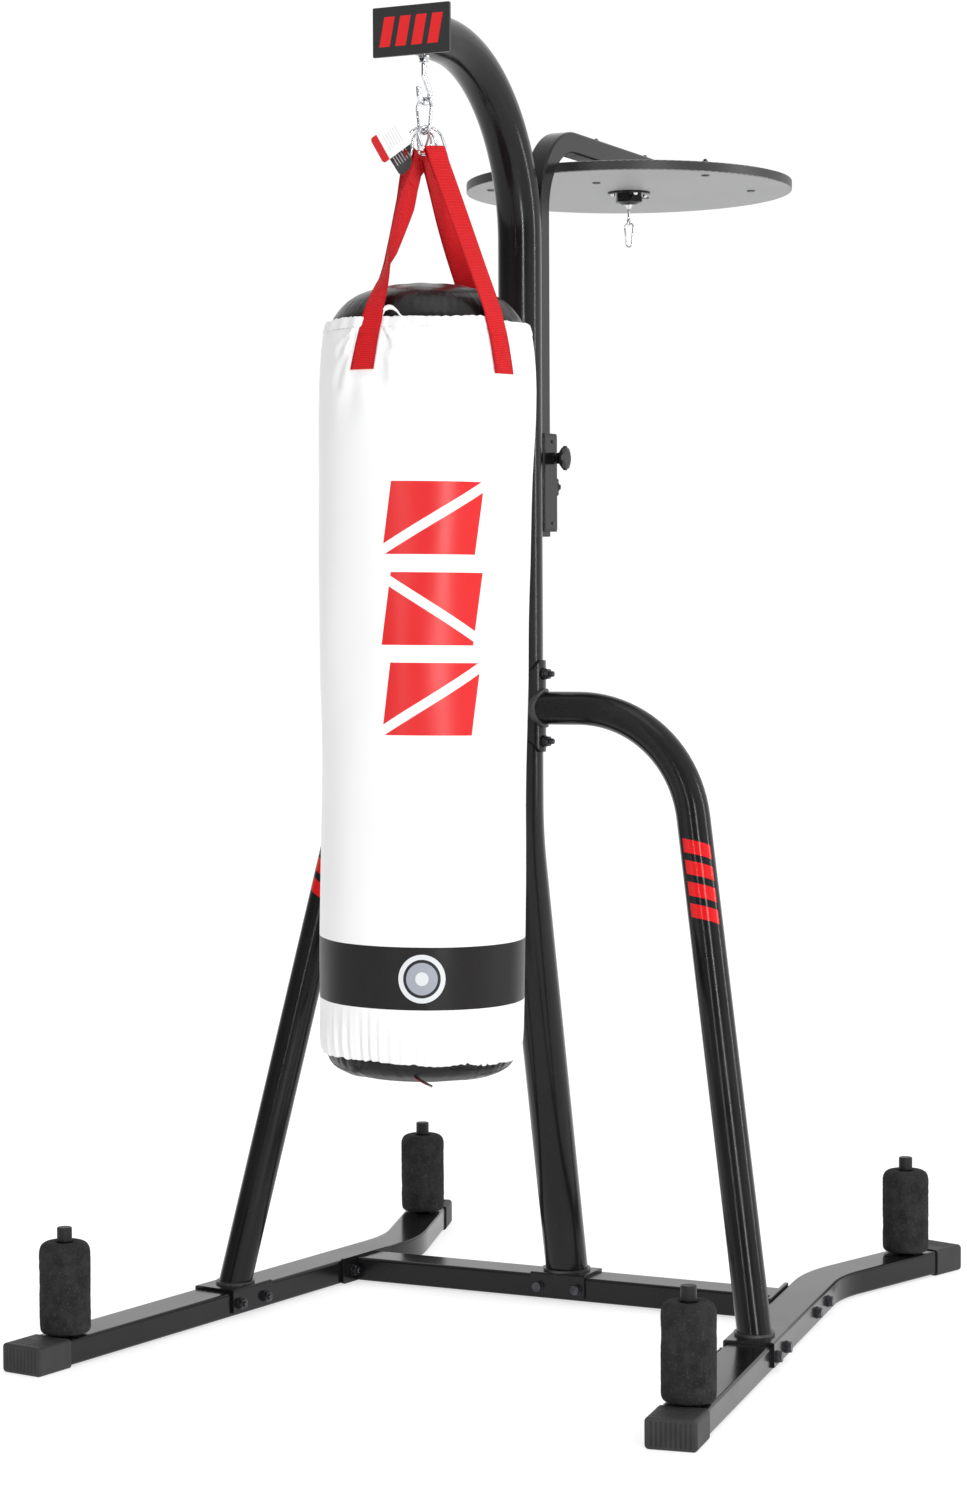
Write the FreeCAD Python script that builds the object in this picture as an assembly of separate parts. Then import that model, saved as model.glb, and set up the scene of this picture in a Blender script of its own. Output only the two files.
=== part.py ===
import FreeCAD, Part
import math
import os

os.makedirs("parts", exist_ok=True)

# Free-standing boxing station: a bent-tube floor frame with an arched upright that carries a
# heavy bag, and a height-adjustable speed-bag platform behind it.
# Millimetres.  +Z is up, -Y is the side the boxer stands on, +X is to the boxer's right.
# The frame is laid out from the crossbar's centre line, then shifted so that the origin is
# at the middle of the footprint, on the floor.

CROSSBAR_Y = 150.5            # crossbar centre line, behind the middle of the footprint

# --- floor frame ---
TUBE_H = 43.0                 # height of runner and crossbar tube
TUBE_Z0 = 3.5                 # underside of that tube above the floor
TUBE_TOP = TUBE_Z0 + TUBE_H
RUNNER_W = 76.0
TUBE_WALL = 2.5
TUBE_CORNER = 5.0
RUNNER_BEND_R = 300.0
CROSSBAR_W = 72.0
END_PLATE_T = 6.0
END_PLATE_L = 146.0
END_PLATE_LIP = 4.0           # how far the end plate stands above the runner
FRONT_PEG = (558.0, -796.5)   # peg axes, right-hand side
REAR_PEG = (504.5, 425.7)
FRONT_SPLAY = 7.7             # degrees the runner's front half turns outward
REAR_SPLAY = 17.7
FRONT_OVERHANG = 111.0        # peg axis to outer face of the end cap
REAR_OVERHANG = 124.0

# --- end caps ---
CAP_W = 82.0
CAP_H = 48.5
CAP_LEN = 78.0

# --- plate pegs and foam sleeves ---
PEG_R = 12.5                  # the exposed end, a cap pressed over the tube
PEG_TUBE_R = 12.3
PEG_TOP = 226.0
PEG_CAP_L = 22.5
FOAM_R = 43.5
FOAM_BORE_R = 12.55
FOAM_TOP = 203.0
FOAM_EDGE = 9.0

# --- upright ---
POST_R = 38.0
POST_WALL = 2.5
POST_FOOT_Y = 5.0
POST_Y = -183.0               # vertical run of the upright
POST_BEND_Z = 856.0
POST_BEND_R = 500.0
POST_JOINT_Z = 1078.5
ARCH_R = 300.0
ARCH_Z = 2189.0               # centre line of the level run on top
ARCH_END_Y = -590.0

# --- side legs ---
LEG_R = 29.0
LEG_WALL = 2.5
LEG_Z = 1077.5
LEG_BEND_R = 228.0
LEG_KNEE = 299.5              # from the post axis to the meeting point of the two straights
LEG_FOOT = (494.0, -344.0)    # where the axis meets the foot bracket: the leg's plane leans forward

# --- brackets ---
PLATE_T = 5.0
SADDLE_Z = (1001.0, 1161.0)
SADDLE_HALF_W = 33.0
SADDLE_CHAMFER = 22.0
SADDLE_BOLT_Z = (1019.5, 1137.0)
FOOT_PLATE_L = 112.0
FLANGE_DROP = 36.0
BOLT_R = 5.0
HOLE_R = 5.3
NUT_AF = 17.0
NUT_T = 8.0
WASHER_R = 10.5
WASHER_T = 2.0

# --- bag hook ---
HOOK_Y = -552.0
HOOK_WIRE_R = 4.5
HOOK_AZ = -20.0               # degrees, direction the hook's mouth faces, from -Y towards +X
HOOK_BOW_R = 12.0
HOOK_Z = 2075.5               # centre line at the bottom of the bow
CLIP_WIRE_R = 2.75
RING_WIRE_R = 2.25

# --- heavy bag ---
BAG_FACE_AZ = 30.7            # direction the bag's front faces, from -Y towards +X
BAG_LEAN = 0.75               # degrees the bag hangs off plumb, its filling settled to one side
BAG_LEAN_AZ = -64.5           # direction its foot drifts
BAG_LEAN_Z = 1480.0           # height where its axis still passes under the hook
STRAP_HEM_AZ = 35.3           # a strap's direction from the bag's face, at the hem
STRAP_FOOT_AZ = 39.8          # and at the patch's foot
STRAP_W = 38.0
STRAP_FOOT_W = 41.0
STRAP_FOOT_Z = 1628.0
STRAP_T = 3.0
BAG_SEAM_Z = 518.0
BAG_HEM_Z = 1716.0
BAG_SKIN = 3.0
BAG_PROFILE = [(163.0, 518.0), (168.5, 560.0), (169.8, 680.0), (168.0, 900.0), (169.0, 1070.0),
               (174.5, 1330.0), (177.5, 1520.0), (177.8, 1610.0), (173.5, 1672.0), (166.5, 1716.0)]
BAG_TOP_PROFILE = [(166.5, 1716.0), (160.0, 1727.0), (145.0, 1742.0), (112.0, 1762.0), (58.0, 1777.0),
                   (0.0, 1781.0)]
BAG_BASE_PROFILE = [(163.0, 518.0), (153.0, 495.0), (125.0, 482.0), (60.0, 478.5), (0.0, 478.0)]

# --- speed-bag unit ---
MAST_W = 38.0
MAST_WALL = 2.0
MAST_Y = -116.5
MAST_BOTTOM = 1381.0
MAST_BEND_R = 136.0
ARM_Z = 2085.0                # centre line of the arm
ARM_END_Y = 424.0
SLEEVE_W = 57.0
SLEEVE_WALL = 3.0
SLEEVE_Z = (1391.0, 1555.0)
MAST_GAP = 0.08
PLATFORM_R = 305.0
PLATFORM_T = 18.0
PLATFORM_Y = 306.0
PLATFORM_Z = 2032.0           # underside
STRUT_Y = (153.0, 385.0)
STRUT_X = 214.0
KNOB_Z = 1515.0
REAR_KNOB_Z = 1467.0
KNOB_R = 21.5


def vec(x, y, z):
    return FreeCAD.Vector(x, y, z)


UP = vec(0, 0, 1)
PARTS = {}


def keep(name, *solids):
    """Put finished solids under a node name, moved into the footprint frame."""
    shape = solids[0] if len(solids) == 1 else Part.makeCompound(list(solids))
    shape = shape.copy()
    shape.translate(vec(0, CROSSBAR_Y, 0))
    PARTS[name] = shape


def box(x0, x1, y0, y1, z0, z1):
    return Part.makeBox(x1 - x0, y1 - y0, z1 - z0, vec(x0, y0, z0))


def cyl(r, start, end):
    axis = end - start
    return Part.makeCylinder(r, axis.Length, start, axis)


def ring(r_out, r_in, start, end):
    return cyl(r_out, start, end).cut(cyl(r_in, start, end))


def mirror_x(shape):
    return shape.mirror(vec(0, 0, 0), vec(1, 0, 0))


def turned(shape, degrees, x=0.0, y=0.0):
    """Turn a shape about a vertical axis."""
    out = shape.copy()
    out.rotate(vec(x, y, 0), UP, degrees)
    return out


def rounded_rect(w, h, r, centre, u, v):
    """Closed wire of a w x h rectangle with rounded corners; u and v are unit vectors."""
    hw, hh = w / 2.0, h / 2.0
    k = r * (1.0 - math.sqrt(0.5))

    def at(a, b):
        return centre + u * a + v * b

    edges = []
    for sa, sb in ((1, 1), (-1, 1), (-1, -1), (1, -1)):
        first, last = at(sa * hw, sb * (hh - r)), at(sa * (hw - r), sb * hh)
        if sa * sb < 0:
            first, last = last, first
        mid = at(sa * (hw - k), sb * (hh - k))
        edges.append(Part.Arc(first, mid, last).toShape())
    wire = []
    for i, edge in enumerate(edges):
        wire.append(edge)
        a = edge.valueAt(edge.LastParameter)
        b = edges[(i + 1) % 4].valueAt(edges[(i + 1) % 4].FirstParameter)
        wire.append(Part.makeLine(a, b))
    return Part.Wire(wire)


def sweep(path, profile):
    solid = path.makePipeShell([profile], True, False)
    return solid if solid.Volume > 0 else solid.reversed()


def round_bar(path, r, start, direction):
    profile = Part.Wire([Part.makeCircle(r, start, direction)])
    return sweep(path, profile)


def fillet_path(points, radii):
    """Wire through points with a circular arc at each inner point."""
    edges = []
    last = points[0]
    for i in range(1, len(points) - 1):
        p = points[i]
        a = (points[i - 1] - p).normalize()
        b = (points[i + 1] - p).normalize()
        half = a.getAngle(b) / 2.0
        r = radii[i - 1]
        t = r / math.tan(half)
        start, end = p + a * t, p + b * t
        bisector = (a + b).normalize()
        mid = p + bisector * (r / math.sin(half) - r)
        if (start - last).Length > 1e-6:
            edges.append(Part.makeLine(last, start))
        edges.append(Part.Arc(start, mid, end).toShape())
        last = end
    edges.append(Part.makeLine(last, points[-1]))
    return Part.Wire(edges)


def hex_prism(across_flats, start, end):
    axis = (end - start).normalize()
    side = axis.cross(UP)
    if side.Length < 1e-3:
        side = vec(1, 0, 0)
    side.normalize()
    other = axis.cross(side)
    r = across_flats / math.sqrt(3.0)
    pts = [start + side * (r * math.cos(math.radians(60 * i))) + other * (r * math.sin(math.radians(60 * i)))
           for i in range(7)]
    prism = Part.Face(Part.makePolygon(pts)).extrude(end - start)
    dome = Part.makeCone(r * 1.06, r * 0.86, (end - start).Length * 1.0, start, axis)
    return prism.common(dome.fuse(cyl(r * 0.9, start, end)))


BOLTS, NUTS, WASHERS = [], [], []


def bolt_through(head_face, nut_face, overrun=6.0):
    """Hex bolt from one outer face to the other, with a washer under head and nut."""
    axis = (nut_face - head_face).normalize()
    w = axis * WASHER_T
    head = hex_prism(NUT_AF, head_face - w, head_face - w - axis * 7.0)
    tip = nut_face + w + axis * (NUT_T + overrun)
    shank = cyl(BOLT_R, head_face - w, tip)
    shank = shank.makeChamfer(1.2, [e for e in shank.Edges
                                    if e.Closed and (e.CenterOfMass - tip).Length < 0.1])
    BOLTS.append(shank.fuse(head))
    nut = hex_prism(NUT_AF, nut_face + w, nut_face + w + axis * NUT_T)
    NUTS.append(nut.cut(cyl(BOLT_R + 0.05, nut_face, tip)))
    for face, sign in ((head_face, -1.0), (nut_face, 1.0)):
        washer = ring(WASHER_R, BOLT_R + 0.1, face, face + axis * (sign * WASHER_T))
        WASHERS.append(washer)


# ---------------------------------------------------------------- floor frame
def heading(degrees):
    """Unit vector for the right-hand runner's outward lean; 0 points forward."""
    a = math.radians(degrees)
    return vec(math.sin(a), -math.cos(a), 0)


FRONT_DIR = heading(FRONT_SPLAY)
REAR_DIR = vec(math.sin(math.radians(REAR_SPLAY)), math.cos(math.radians(REAR_SPLAY)), 0)


def runner_x(y):
    """Centre line of the runner's straight front half."""
    return FRONT_PEG[0] - (y - FRONT_PEG[1]) * math.tan(math.radians(FRONT_SPLAY))


def runner_corner():
    tf, tr = math.tan(math.radians(FRONT_SPLAY)), math.tan(math.radians(REAR_SPLAY))
    y = (FRONT_PEG[0] + FRONT_PEG[1] * tf - REAR_PEG[0] + REAR_PEG[1] * tr) / (tf + tr)
    return vec(runner_x(y), y, 0)


MID_Z = vec(0, 0, TUBE_Z0 + TUBE_H / 2.0)
FRONT_PEG_P = vec(FRONT_PEG[0], FRONT_PEG[1], 0)
REAR_PEG_P = vec(REAR_PEG[0], REAR_PEG[1], 0)


def runner_tube(grow):
    start = FRONT_PEG_P + FRONT_DIR * (FRONT_OVERHANG - 5.0) + MID_Z
    end = REAR_PEG_P + REAR_DIR * (REAR_OVERHANG - 5.0) + MID_Z
    path = fillet_path([start, runner_corner() + MID_Z, end], [RUNNER_BEND_R])
    side = FRONT_DIR.cross(UP)
    profile = rounded_rect(RUNNER_W + 2 * grow, TUBE_H + 2 * grow, TUBE_CORNER + grow, start, side, UP)
    return sweep(path, profile)


FOOT_MID = vec(runner_x(LEG_FOOT[1]), LEG_FOOT[1], 0)
FOOT_BOLTS = [FOOT_MID + FRONT_DIR * s + vec(0, 0, 25.0) for s in (-36.0, 36.0)]
SIDE = FRONT_DIR.cross(UP) * -1.0            # outward, square to the runner's front half
JOINT_BOLTS = [vec(runner_x(0), 0, 25.0) + FRONT_DIR * s for s in (-55.0, 41.0)]


def build_runner():
    tube = runner_tube(0).cut(runner_tube(-TUBE_WALL))
    for peg in (FRONT_PEG_P, REAR_PEG_P):
        tube = tube.cut(cyl(PEG_TUBE_R + 0.1, peg + vec(0, 0, TUBE_TOP - 5), peg + vec(0, 0, TUBE_TOP + 1)))
    for p in FOOT_BOLTS + JOINT_BOLTS:
        tube = tube.cut(cyl(HOLE_R, p - SIDE * 60, p + SIDE * 60))
    return tube


runner = build_runner()
keep("right_runner", runner)
keep("left_runner", mirror_x(runner))


def end_plate():
    centre = vec(runner_x(0), 0, 0) - SIDE * (RUNNER_W / 2.0 + END_PLATE_T / 2.0)
    plate = box(-END_PLATE_T / 2, END_PLATE_T / 2, -END_PLATE_L / 2, END_PLATE_L / 2,
                TUBE_Z0, TUBE_TOP + END_PLATE_LIP)
    plate = plate.makeFillet(4.0, [e for e in plate.Edges if abs(e.Length - END_PLATE_T) < 0.1])
    plate = turned(plate, FRONT_SPLAY)
    plate.translate(centre)
    for p in JOINT_BOLTS:
        plate = plate.cut(cyl(HOLE_R, p - SIDE * 60, p))
    return plate


def crossbar_solid(grow):
    reach = runner_x(0) + 20.0
    start = vec(-reach, 0, 0) + MID_Z
    path = Part.Wire([Part.makeLine(start, vec(reach, 0, 0) + MID_Z)])
    profile = rounded_rect(CROSSBAR_W + 2 * grow, TUBE_H + 2 * grow, TUBE_CORNER + grow,
                           start, vec(0, 1, 0), UP)
    return sweep(path, profile)


def crossbar_ends():
    """Everything outboard of the two end plates' inner faces."""
    block = box(0, 200, -300, 300, -10, 100)
    block = turned(block, FRONT_SPLAY)
    block.translate(vec(runner_x(0), 0, 0) - SIDE * (RUNNER_W / 2.0 + END_PLATE_T))
    return block


BASE_BOLT_X = 37.5
crossbar = crossbar_solid(0).cut(crossbar_solid(-TUBE_WALL))
crossbar = crossbar.cut(crossbar_ends()).cut(mirror_x(crossbar_ends()))
for x in (-BASE_BOLT_X, BASE_BOLT_X):
    crossbar = crossbar.cut(cyl(HOLE_R, vec(x, -60, 26.0), vec(x, 60, 26.0)))
keep("crossbar", crossbar)
keep("crossbar_end_plates", end_plate(), mirror_x(end_plate()))

for mirrored in (1, -1):
    for p in JOINT_BOLTS + FOOT_BOLTS:
        wall = RUNNER_W / 2.0
        inner = END_PLATE_T if p in JOINT_BOLTS else PLATE_T
        outer = 0.0 if p in JOINT_BOLTS else PLATE_T
        # Foot bolts have their heads where they are seen: outside right, inside left.
        out_face = p + SIDE * (wall + outer)
        in_face = p - SIDE * (wall + inner)
        if mirrored < 0:
            out_face = vec(-out_face.x, out_face.y, out_face.z)
            in_face = vec(-in_face.x, in_face.y, in_face.z)
        bolt_through(out_face, in_face, 4.0)


# ---------------------------------------------------------------- end caps
def end_cap(peg, direction, overhang):
    side = direction.cross(UP)
    face = peg + direction * overhang
    back = face - direction * CAP_LEN
    mid = vec(0, 0, CAP_H / 2.0)
    path = Part.Wire([Part.makeLine(back + mid, face + mid)])
    block = sweep(path, rounded_rect(CAP_W, CAP_H, 7.0, back + mid, side, UP))
    rim = [e for e in block.Edges if abs((e.CenterOfMass - face).dot(direction)) < 0.1]
    block = block.makeFillet(4.0, rim)
    pocket_mid = vec(0, 0, TUBE_Z0 + TUBE_H / 2.0)
    pocket_end = face - direction * 5.0
    pocket = sweep(Part.Wire([Part.makeLine(back - direction * 5 + pocket_mid, pocket_end + pocket_mid)]),
                   rounded_rect(RUNNER_W + 0.2, TUBE_H + 0.2, TUBE_CORNER + 0.1,
                                back - direction * 5 + pocket_mid, side, UP))
    block = block.cut(pocket)
    grooves = 9
    for i in range(grooves):
        off = (i - (grooves - 1) / 2.0) * 7.6
        centre = face + side * off
        groove = cyl(1.3, centre + vec(0, 0, 6.0), centre + vec(0, 0, CAP_H - 6.0))
        block = block.cut(groove)
    for i in range(4):
        centre = face - direction * (14.0 + 9.0 * i) + vec(0, 0, CAP_H)
        groove = cyl(1.2, centre - side * 32.0, centre + side * 32.0)
        block = block.cut(groove)
    return block


front_cap = end_cap(FRONT_PEG_P, FRONT_DIR, FRONT_OVERHANG)
rear_cap = end_cap(REAR_PEG_P, REAR_DIR, REAR_OVERHANG)
keep("front_end_caps", front_cap, mirror_x(front_cap))
keep("rear_end_caps", rear_cap, mirror_x(rear_cap))


# ---------------------------------------------------------------- plate pegs, foam sleeves
def peg_at(p):
    return cyl(PEG_TUBE_R, p + vec(0, 0, TUBE_Z0 + TUBE_WALL), p + vec(0, 0, PEG_TOP - PEG_CAP_L))


def peg_cap_at(p):
    cap = cyl(PEG_R, p + vec(0, 0, PEG_TOP - PEG_CAP_L), p + vec(0, 0, PEG_TOP))
    return cap.makeFillet(2.0, [e for e in cap.Edges if abs(e.CenterOfMass.z - PEG_TOP) < 0.01])


def foam_at(p):
    body = cyl(FOAM_R, p + vec(0, 0, CAP_H + 0.3), p + vec(0, 0, FOAM_TOP))
    body = body.makeFillet(FOAM_EDGE, [e for e in body.Edges if abs(e.CenterOfMass.z - FOAM_TOP) < 0.01])
    return body.cut(cyl(FOAM_BORE_R, p, p + vec(0, 0, FOAM_TOP + 10)))


pegs, peg_caps = [], []
for label, peg in (("front", FRONT_PEG_P), ("rear", REAR_PEG_P)):
    for hand, sign in (("right", 1), ("left", -1)):
        p = vec(sign * peg.x, peg.y, 0)
        pegs.append(peg_at(p))
        peg_caps.append(peg_cap_at(p))
        keep(label + "_" + hand + "_foam_sleeve", foam_at(p))
keep("plate_pegs", *pegs)
keep("peg_caps", *peg_caps)


# ---------------------------------------------------------------- upright
def post_path(start_z):
    """Centre line from the crossbar to the level run on top."""
    foot = vec(0, POST_FOOT_Y, TUBE_TOP)
    bend = vec(0, POST_Y, POST_BEND_Z)
    lean = (bend - foot).normalize()
    start = foot + lean * (start_z - TUBE_TOP)
    return start, lean, fillet_path([start, bend, vec(0, POST_Y, ARCH_Z), vec(0, ARCH_END_Y, ARCH_Z)],
                                    [POST_BEND_R, ARCH_R])


def post_solid(r):
    start, lean, path = post_path(0.0)
    return round_bar(path, r, start, lean)


post_outer = post_solid(POST_R)
post_tube = post_outer.cut(post_solid(POST_R - POST_WALL))
for z in SADDLE_BOLT_Z:
    post_tube = post_tube.cut(cyl(HOLE_R, vec(-80, POST_Y, z), vec(80, POST_Y, z)))
post_tube = post_tube.cut(cyl(HOOK_WIRE_R + 0.3, vec(0, HOOK_Y, ARCH_Z - 60), vec(0, HOOK_Y, ARCH_Z + 60)))
FOOT_TOP = TUBE_TOP + PLATE_T
keep("lower_upright", post_tube.common(box(-90, 90, -300, 200, FOOT_TOP, POST_JOINT_Z)))
keep("upper_upright", post_tube.common(box(-90, 90, -700, 0, POST_JOINT_Z + 0.5, 2400)))

SPIGOT_R = POST_R - POST_WALL - 0.1
spigot = ring(SPIGOT_R, SPIGOT_R - 3.0, vec(0, POST_Y, 990), vec(0, POST_Y, 1172))
for z in SADDLE_BOLT_Z:
    spigot = spigot.cut(cyl(HOLE_R, vec(-80, POST_Y, z), vec(80, POST_Y, z)))
keep("upright_spigot", spigot)

# Inverted channel that straddles the crossbar and carries the upright.
HALF_BAR = CROSSBAR_W / 2.0
base_bracket = box(-53, 53, -HALF_BAR - PLATE_T, HALF_BAR + PLATE_T, TUBE_TOP - FLANGE_DROP, FOOT_TOP)
base_bracket = base_bracket.makeFillet(3.5, [e for e in base_bracket.Edges
                                             if abs(e.CenterOfMass.z - FOOT_TOP) < 0.1 and e.Length > 100])
base_bracket = base_bracket.cut(box(-60, 60, -HALF_BAR, HALF_BAR, 0, TUBE_TOP))
for x in (-BASE_BOLT_X, BASE_BOLT_X):
    base_bracket = base_bracket.cut(cyl(HOLE_R, vec(x, -60, 26.0), vec(x, 60, 26.0)))
    bolt_through(vec(x, -HALF_BAR - PLATE_T, 26.0), vec(x, HALF_BAR + PLATE_T, 26.0), 4.0)
keep("upright_foot_bracket", base_bracket)

for z in SADDLE_BOLT_Z:
    bolt_through(vec(-POST_R - PLATE_T - 1.2, POST_Y, z), vec(POST_R + PLATE_T + 1.2, POST_Y, z), 8.0)

# ---------------------------------------------------------------- side legs
LEG_PLAN = vec(LEG_FOOT[0], LEG_FOOT[1] - POST_Y, 0)
LEG_DIR = vec(1, 0, 0)
POST_AXIS = vec(0, POST_Y, 0)


def leg_solid(r):
    start = POST_AXIS + UP * LEG_Z
    knee = POST_AXIS + LEG_DIR * LEG_KNEE + UP * LEG_Z
    foot = POST_AXIS + LEG_PLAN + UP * FOOT_TOP
    foot = foot + (foot - knee).normalize() * 35.0
    path = fillet_path([start, knee, foot], [LEG_BEND_R])
    return round_bar(path, r, start, LEG_DIR)


SADDLE_OUT_R = POST_R + 0.1 + PLATE_T
leg_outer = leg_solid(LEG_R)
leg = leg_outer.cut(leg_solid(LEG_R - LEG_WALL))
leg = leg.cut(cyl(SADDLE_OUT_R, POST_AXIS + UP * 900, POST_AXIS + UP * 1300))
leg = leg.common(box(0, 700, -600, 0, FOOT_TOP, 1300))
keep("right_leg", leg)
keep("left_leg", mirror_x(leg))


def saddle():
    lo, hi = SADDLE_Z
    w, c = SADDLE_HALF_W, SADDLE_CHAMFER
    outline = [(-w, lo + c), (-w + c, lo), (w - c, lo), (w, lo + c),
               (w, hi - c), (w - c, hi), (-w + c, hi), (-w, hi - c), (-w, lo + c)]
    pts = [vec(0, POST_Y + y, z) for y, z in outline]
    blank = Part.Face(Part.makePolygon(pts)).extrude(vec(80, 0, 0))
    shell = ring(SADDLE_OUT_R, POST_R + 0.05, POST_AXIS + UP * lo, POST_AXIS + UP * hi)
    plate = shell.common(blank)
    for z in SADDLE_BOLT_Z:
        plate = plate.cut(cyl(HOLE_R, vec(0, POST_Y, z), vec(80, POST_Y, z)))
        plate = plate.fuse(ring(9.5, HOLE_R, vec(POST_R + 1.0, POST_Y, z),
                                vec(POST_R + PLATE_T + 1.2, POST_Y, z)))
    return plate.cut(cyl(POST_R + 0.05, POST_AXIS + UP * lo, POST_AXIS + UP * hi)).removeSplitter()


keep("leg_saddles", saddle(), mirror_x(saddle()))


def leg_bracket():
    half_w, half_l = RUNNER_W / 2.0, FOOT_PLATE_L / 2.0
    block = box(-half_w - PLATE_T, half_w + PLATE_T, -half_l, half_l, TUBE_TOP - FLANGE_DROP, FOOT_TOP)
    block = block.makeFillet(3.5, [e for e in block.Edges
                                   if abs(e.CenterOfMass.z - FOOT_TOP) < 0.1 and e.Length > 100])
    block = block.cut(box(-half_w, half_w, -90, 90, 0, TUBE_TOP))
    block = turned(block, FRONT_SPLAY)
    block.translate(FOOT_MID)
    for p in FOOT_BOLTS:
        block = block.cut(cyl(HOLE_R, p - SIDE * 60, p + SIDE * 60))
    return block


keep("right_foot_bracket", leg_bracket())
keep("left_foot_bracket", mirror_x(leg_bracket()))


def weld_on_plate(tube, fat_tube):
    slab = box(-700, 700, -700, 300, FOOT_TOP, FOOT_TOP + 4.5)
    return fat_tube.common(slab).cut(tube)


leg_weld = weld_on_plate(leg_outer, leg_solid(LEG_R + 4.5))
post_weld = weld_on_plate(post_outer, post_solid(POST_R + 4.5))
saddle_weld = leg_solid(LEG_R + 5.0).common(
    cyl(SADDLE_OUT_R + 5.0, POST_AXIS + UP * 900, POST_AXIS + UP * 1300))
saddle_weld = saddle_weld.cut(cyl(SADDLE_OUT_R, POST_AXIS + UP * 900, POST_AXIS + UP * 1300))
saddle_weld = saddle_weld.cut(leg_outer).common(box(20, 200, -400, 0, 900, 1300))
sleeve_face = MAST_Y - SLEEVE_W / 2.0
sleeve_weld = box(10, 18, sleeve_face - 6, sleeve_face, SLEEVE_Z[0] + 8, SLEEVE_Z[1] - 8).cut(post_outer)
keep("weld_beads", post_weld, leg_weld, mirror_x(leg_weld), saddle_weld, mirror_x(saddle_weld),
     sleeve_weld, mirror_x(sleeve_weld))

keep("frame_bolts", *BOLTS)
keep("frame_nuts", *NUTS)
keep("frame_washers", *WASHERS)

# ---------------------------------------------------------------- sign plate
plug = cyl(POST_R, vec(0, ARCH_END_Y - 4.0, ARCH_Z), vec(0, ARCH_END_Y, ARCH_Z))
plug = plug.fuse(cyl(POST_R - POST_WALL - 0.1, vec(0, ARCH_END_Y, ARCH_Z), vec(0, ARCH_END_Y + 22, ARCH_Z)))
keep("arch_end_plug", plug)
SIGN_Z = 2186.5
sign = box(-69.5, 69.5, ARCH_END_Y - 9.0, ARCH_END_Y - 4.0, SIGN_Z - 40.0, SIGN_Z + 40.0)
sign = sign.makeFillet(2.0, [e for e in sign.Edges if abs(e.Length - 5.0) < 0.1])
keep("sign_plate", sign)

# ---------------------------------------------------------------- bag hook and clip
HOOK_AXIS = vec(0, HOOK_Y, 0)


def azimuth(degrees):
    a = math.radians(degrees)
    return vec(math.sin(a), -math.cos(a), 0)


HOOK_DIR = azimuth(HOOK_AZ)
CLIP_DIR = azimuth(HOOK_AZ + 90.0)


def in_plane(direction, s, z):
    return HOOK_AXIS + direction * s + UP * z


def j_hook():
    top = in_plane(HOOK_DIR, 0, ARCH_Z + POST_R + 7.5)
    crank = in_plane(HOOK_DIR, 0, 2119.0)
    back = in_plane(HOOK_DIR, -13.0, 2092.0)
    bow_start = in_plane(HOOK_DIR, -13.0, HOOK_Z + HOOK_BOW_R)
    centre = in_plane(HOOK_DIR, -1.0, HOOK_Z + HOOK_BOW_R)
    bow_mid = centre - UP * HOOK_BOW_R
    bow_end = centre + HOOK_DIR * HOOK_BOW_R
    tip = in_plane(HOOK_DIR, 12.5, HOOK_Z + HOOK_BOW_R + 13.0)
    upper = fillet_path([top, crank, back, bow_start], [14.0, 8.0])
    edges = list(upper.Edges)
    edges.append(Part.Arc(bow_start, bow_mid, bow_end).toShape())
    edges.append(Part.makeLine(bow_end, tip))
    return round_bar(Part.Wire(edges), HOOK_WIRE_R, top, UP * -1.0)


keep("j_hook", j_hook())
hook_nuts = []
for face, sign_z, depth in ((ARCH_Z - POST_R, -1.0, 7.5), (ARCH_Z + POST_R, 1.0, 4.5)):
    base = in_plane(HOOK_DIR, 0, face)
    seat = ring(9.5, HOOK_WIRE_R + 0.05, base - UP * (sign_z * 2.5), base + UP * (sign_z * 2.5))
    hook_nuts.append(seat.cut(post_outer))
    nut = hex_prism(16.0, base + UP * (sign_z * 2.5), base + UP * (sign_z * (2.5 + depth)))
    hook_nuts.append(nut.cut(cyl(HOOK_WIRE_R + 0.05, base - UP * 20, base + UP * 20)))
keep("hook_nuts", *hook_nuts)


def clip_path(direction, origin, top_z, bottom_z, top_r, bottom_r, gap_lo, gap_hi):
    """Pear-shaped clip centre line, open on its -direction side between gap_lo and gap_hi."""
    ct, cb = top_z - top_r, bottom_z + bottom_r
    tilt = math.asin((top_r - bottom_r) / (ct - cb))

    def at(s, z):
        return origin + direction * s + UP * z

    def on(cz, r, sign, angle):
        return at(sign * r * math.cos(angle), cz + r * math.sin(angle))

    def side_point(z):
        a, b = on(ct, top_r, -1, -tilt), on(cb, bottom_r, -1, -tilt)
        return b + (a - b) * ((z - b.z) / (a.z - b.z))

    start, end = side_point(gap_hi), side_point(gap_lo)
    edges = [Part.makeLine(start, on(ct, top_r, -1, -tilt)),
             Part.Arc(on(ct, top_r, -1, -tilt), at(0, top_z), on(ct, top_r, 1, -tilt)).toShape(),
             Part.makeLine(on(ct, top_r, 1, -tilt), on(cb, bottom_r, 1, -tilt)),
             Part.Arc(on(cb, bottom_r, 1, -tilt), at(0, bottom_z), on(cb, bottom_r, -1, -tilt)).toShape(),
             Part.makeLine(on(cb, bottom_r, -1, -tilt), end)]
    return Part.Wire(edges), start, end


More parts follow.
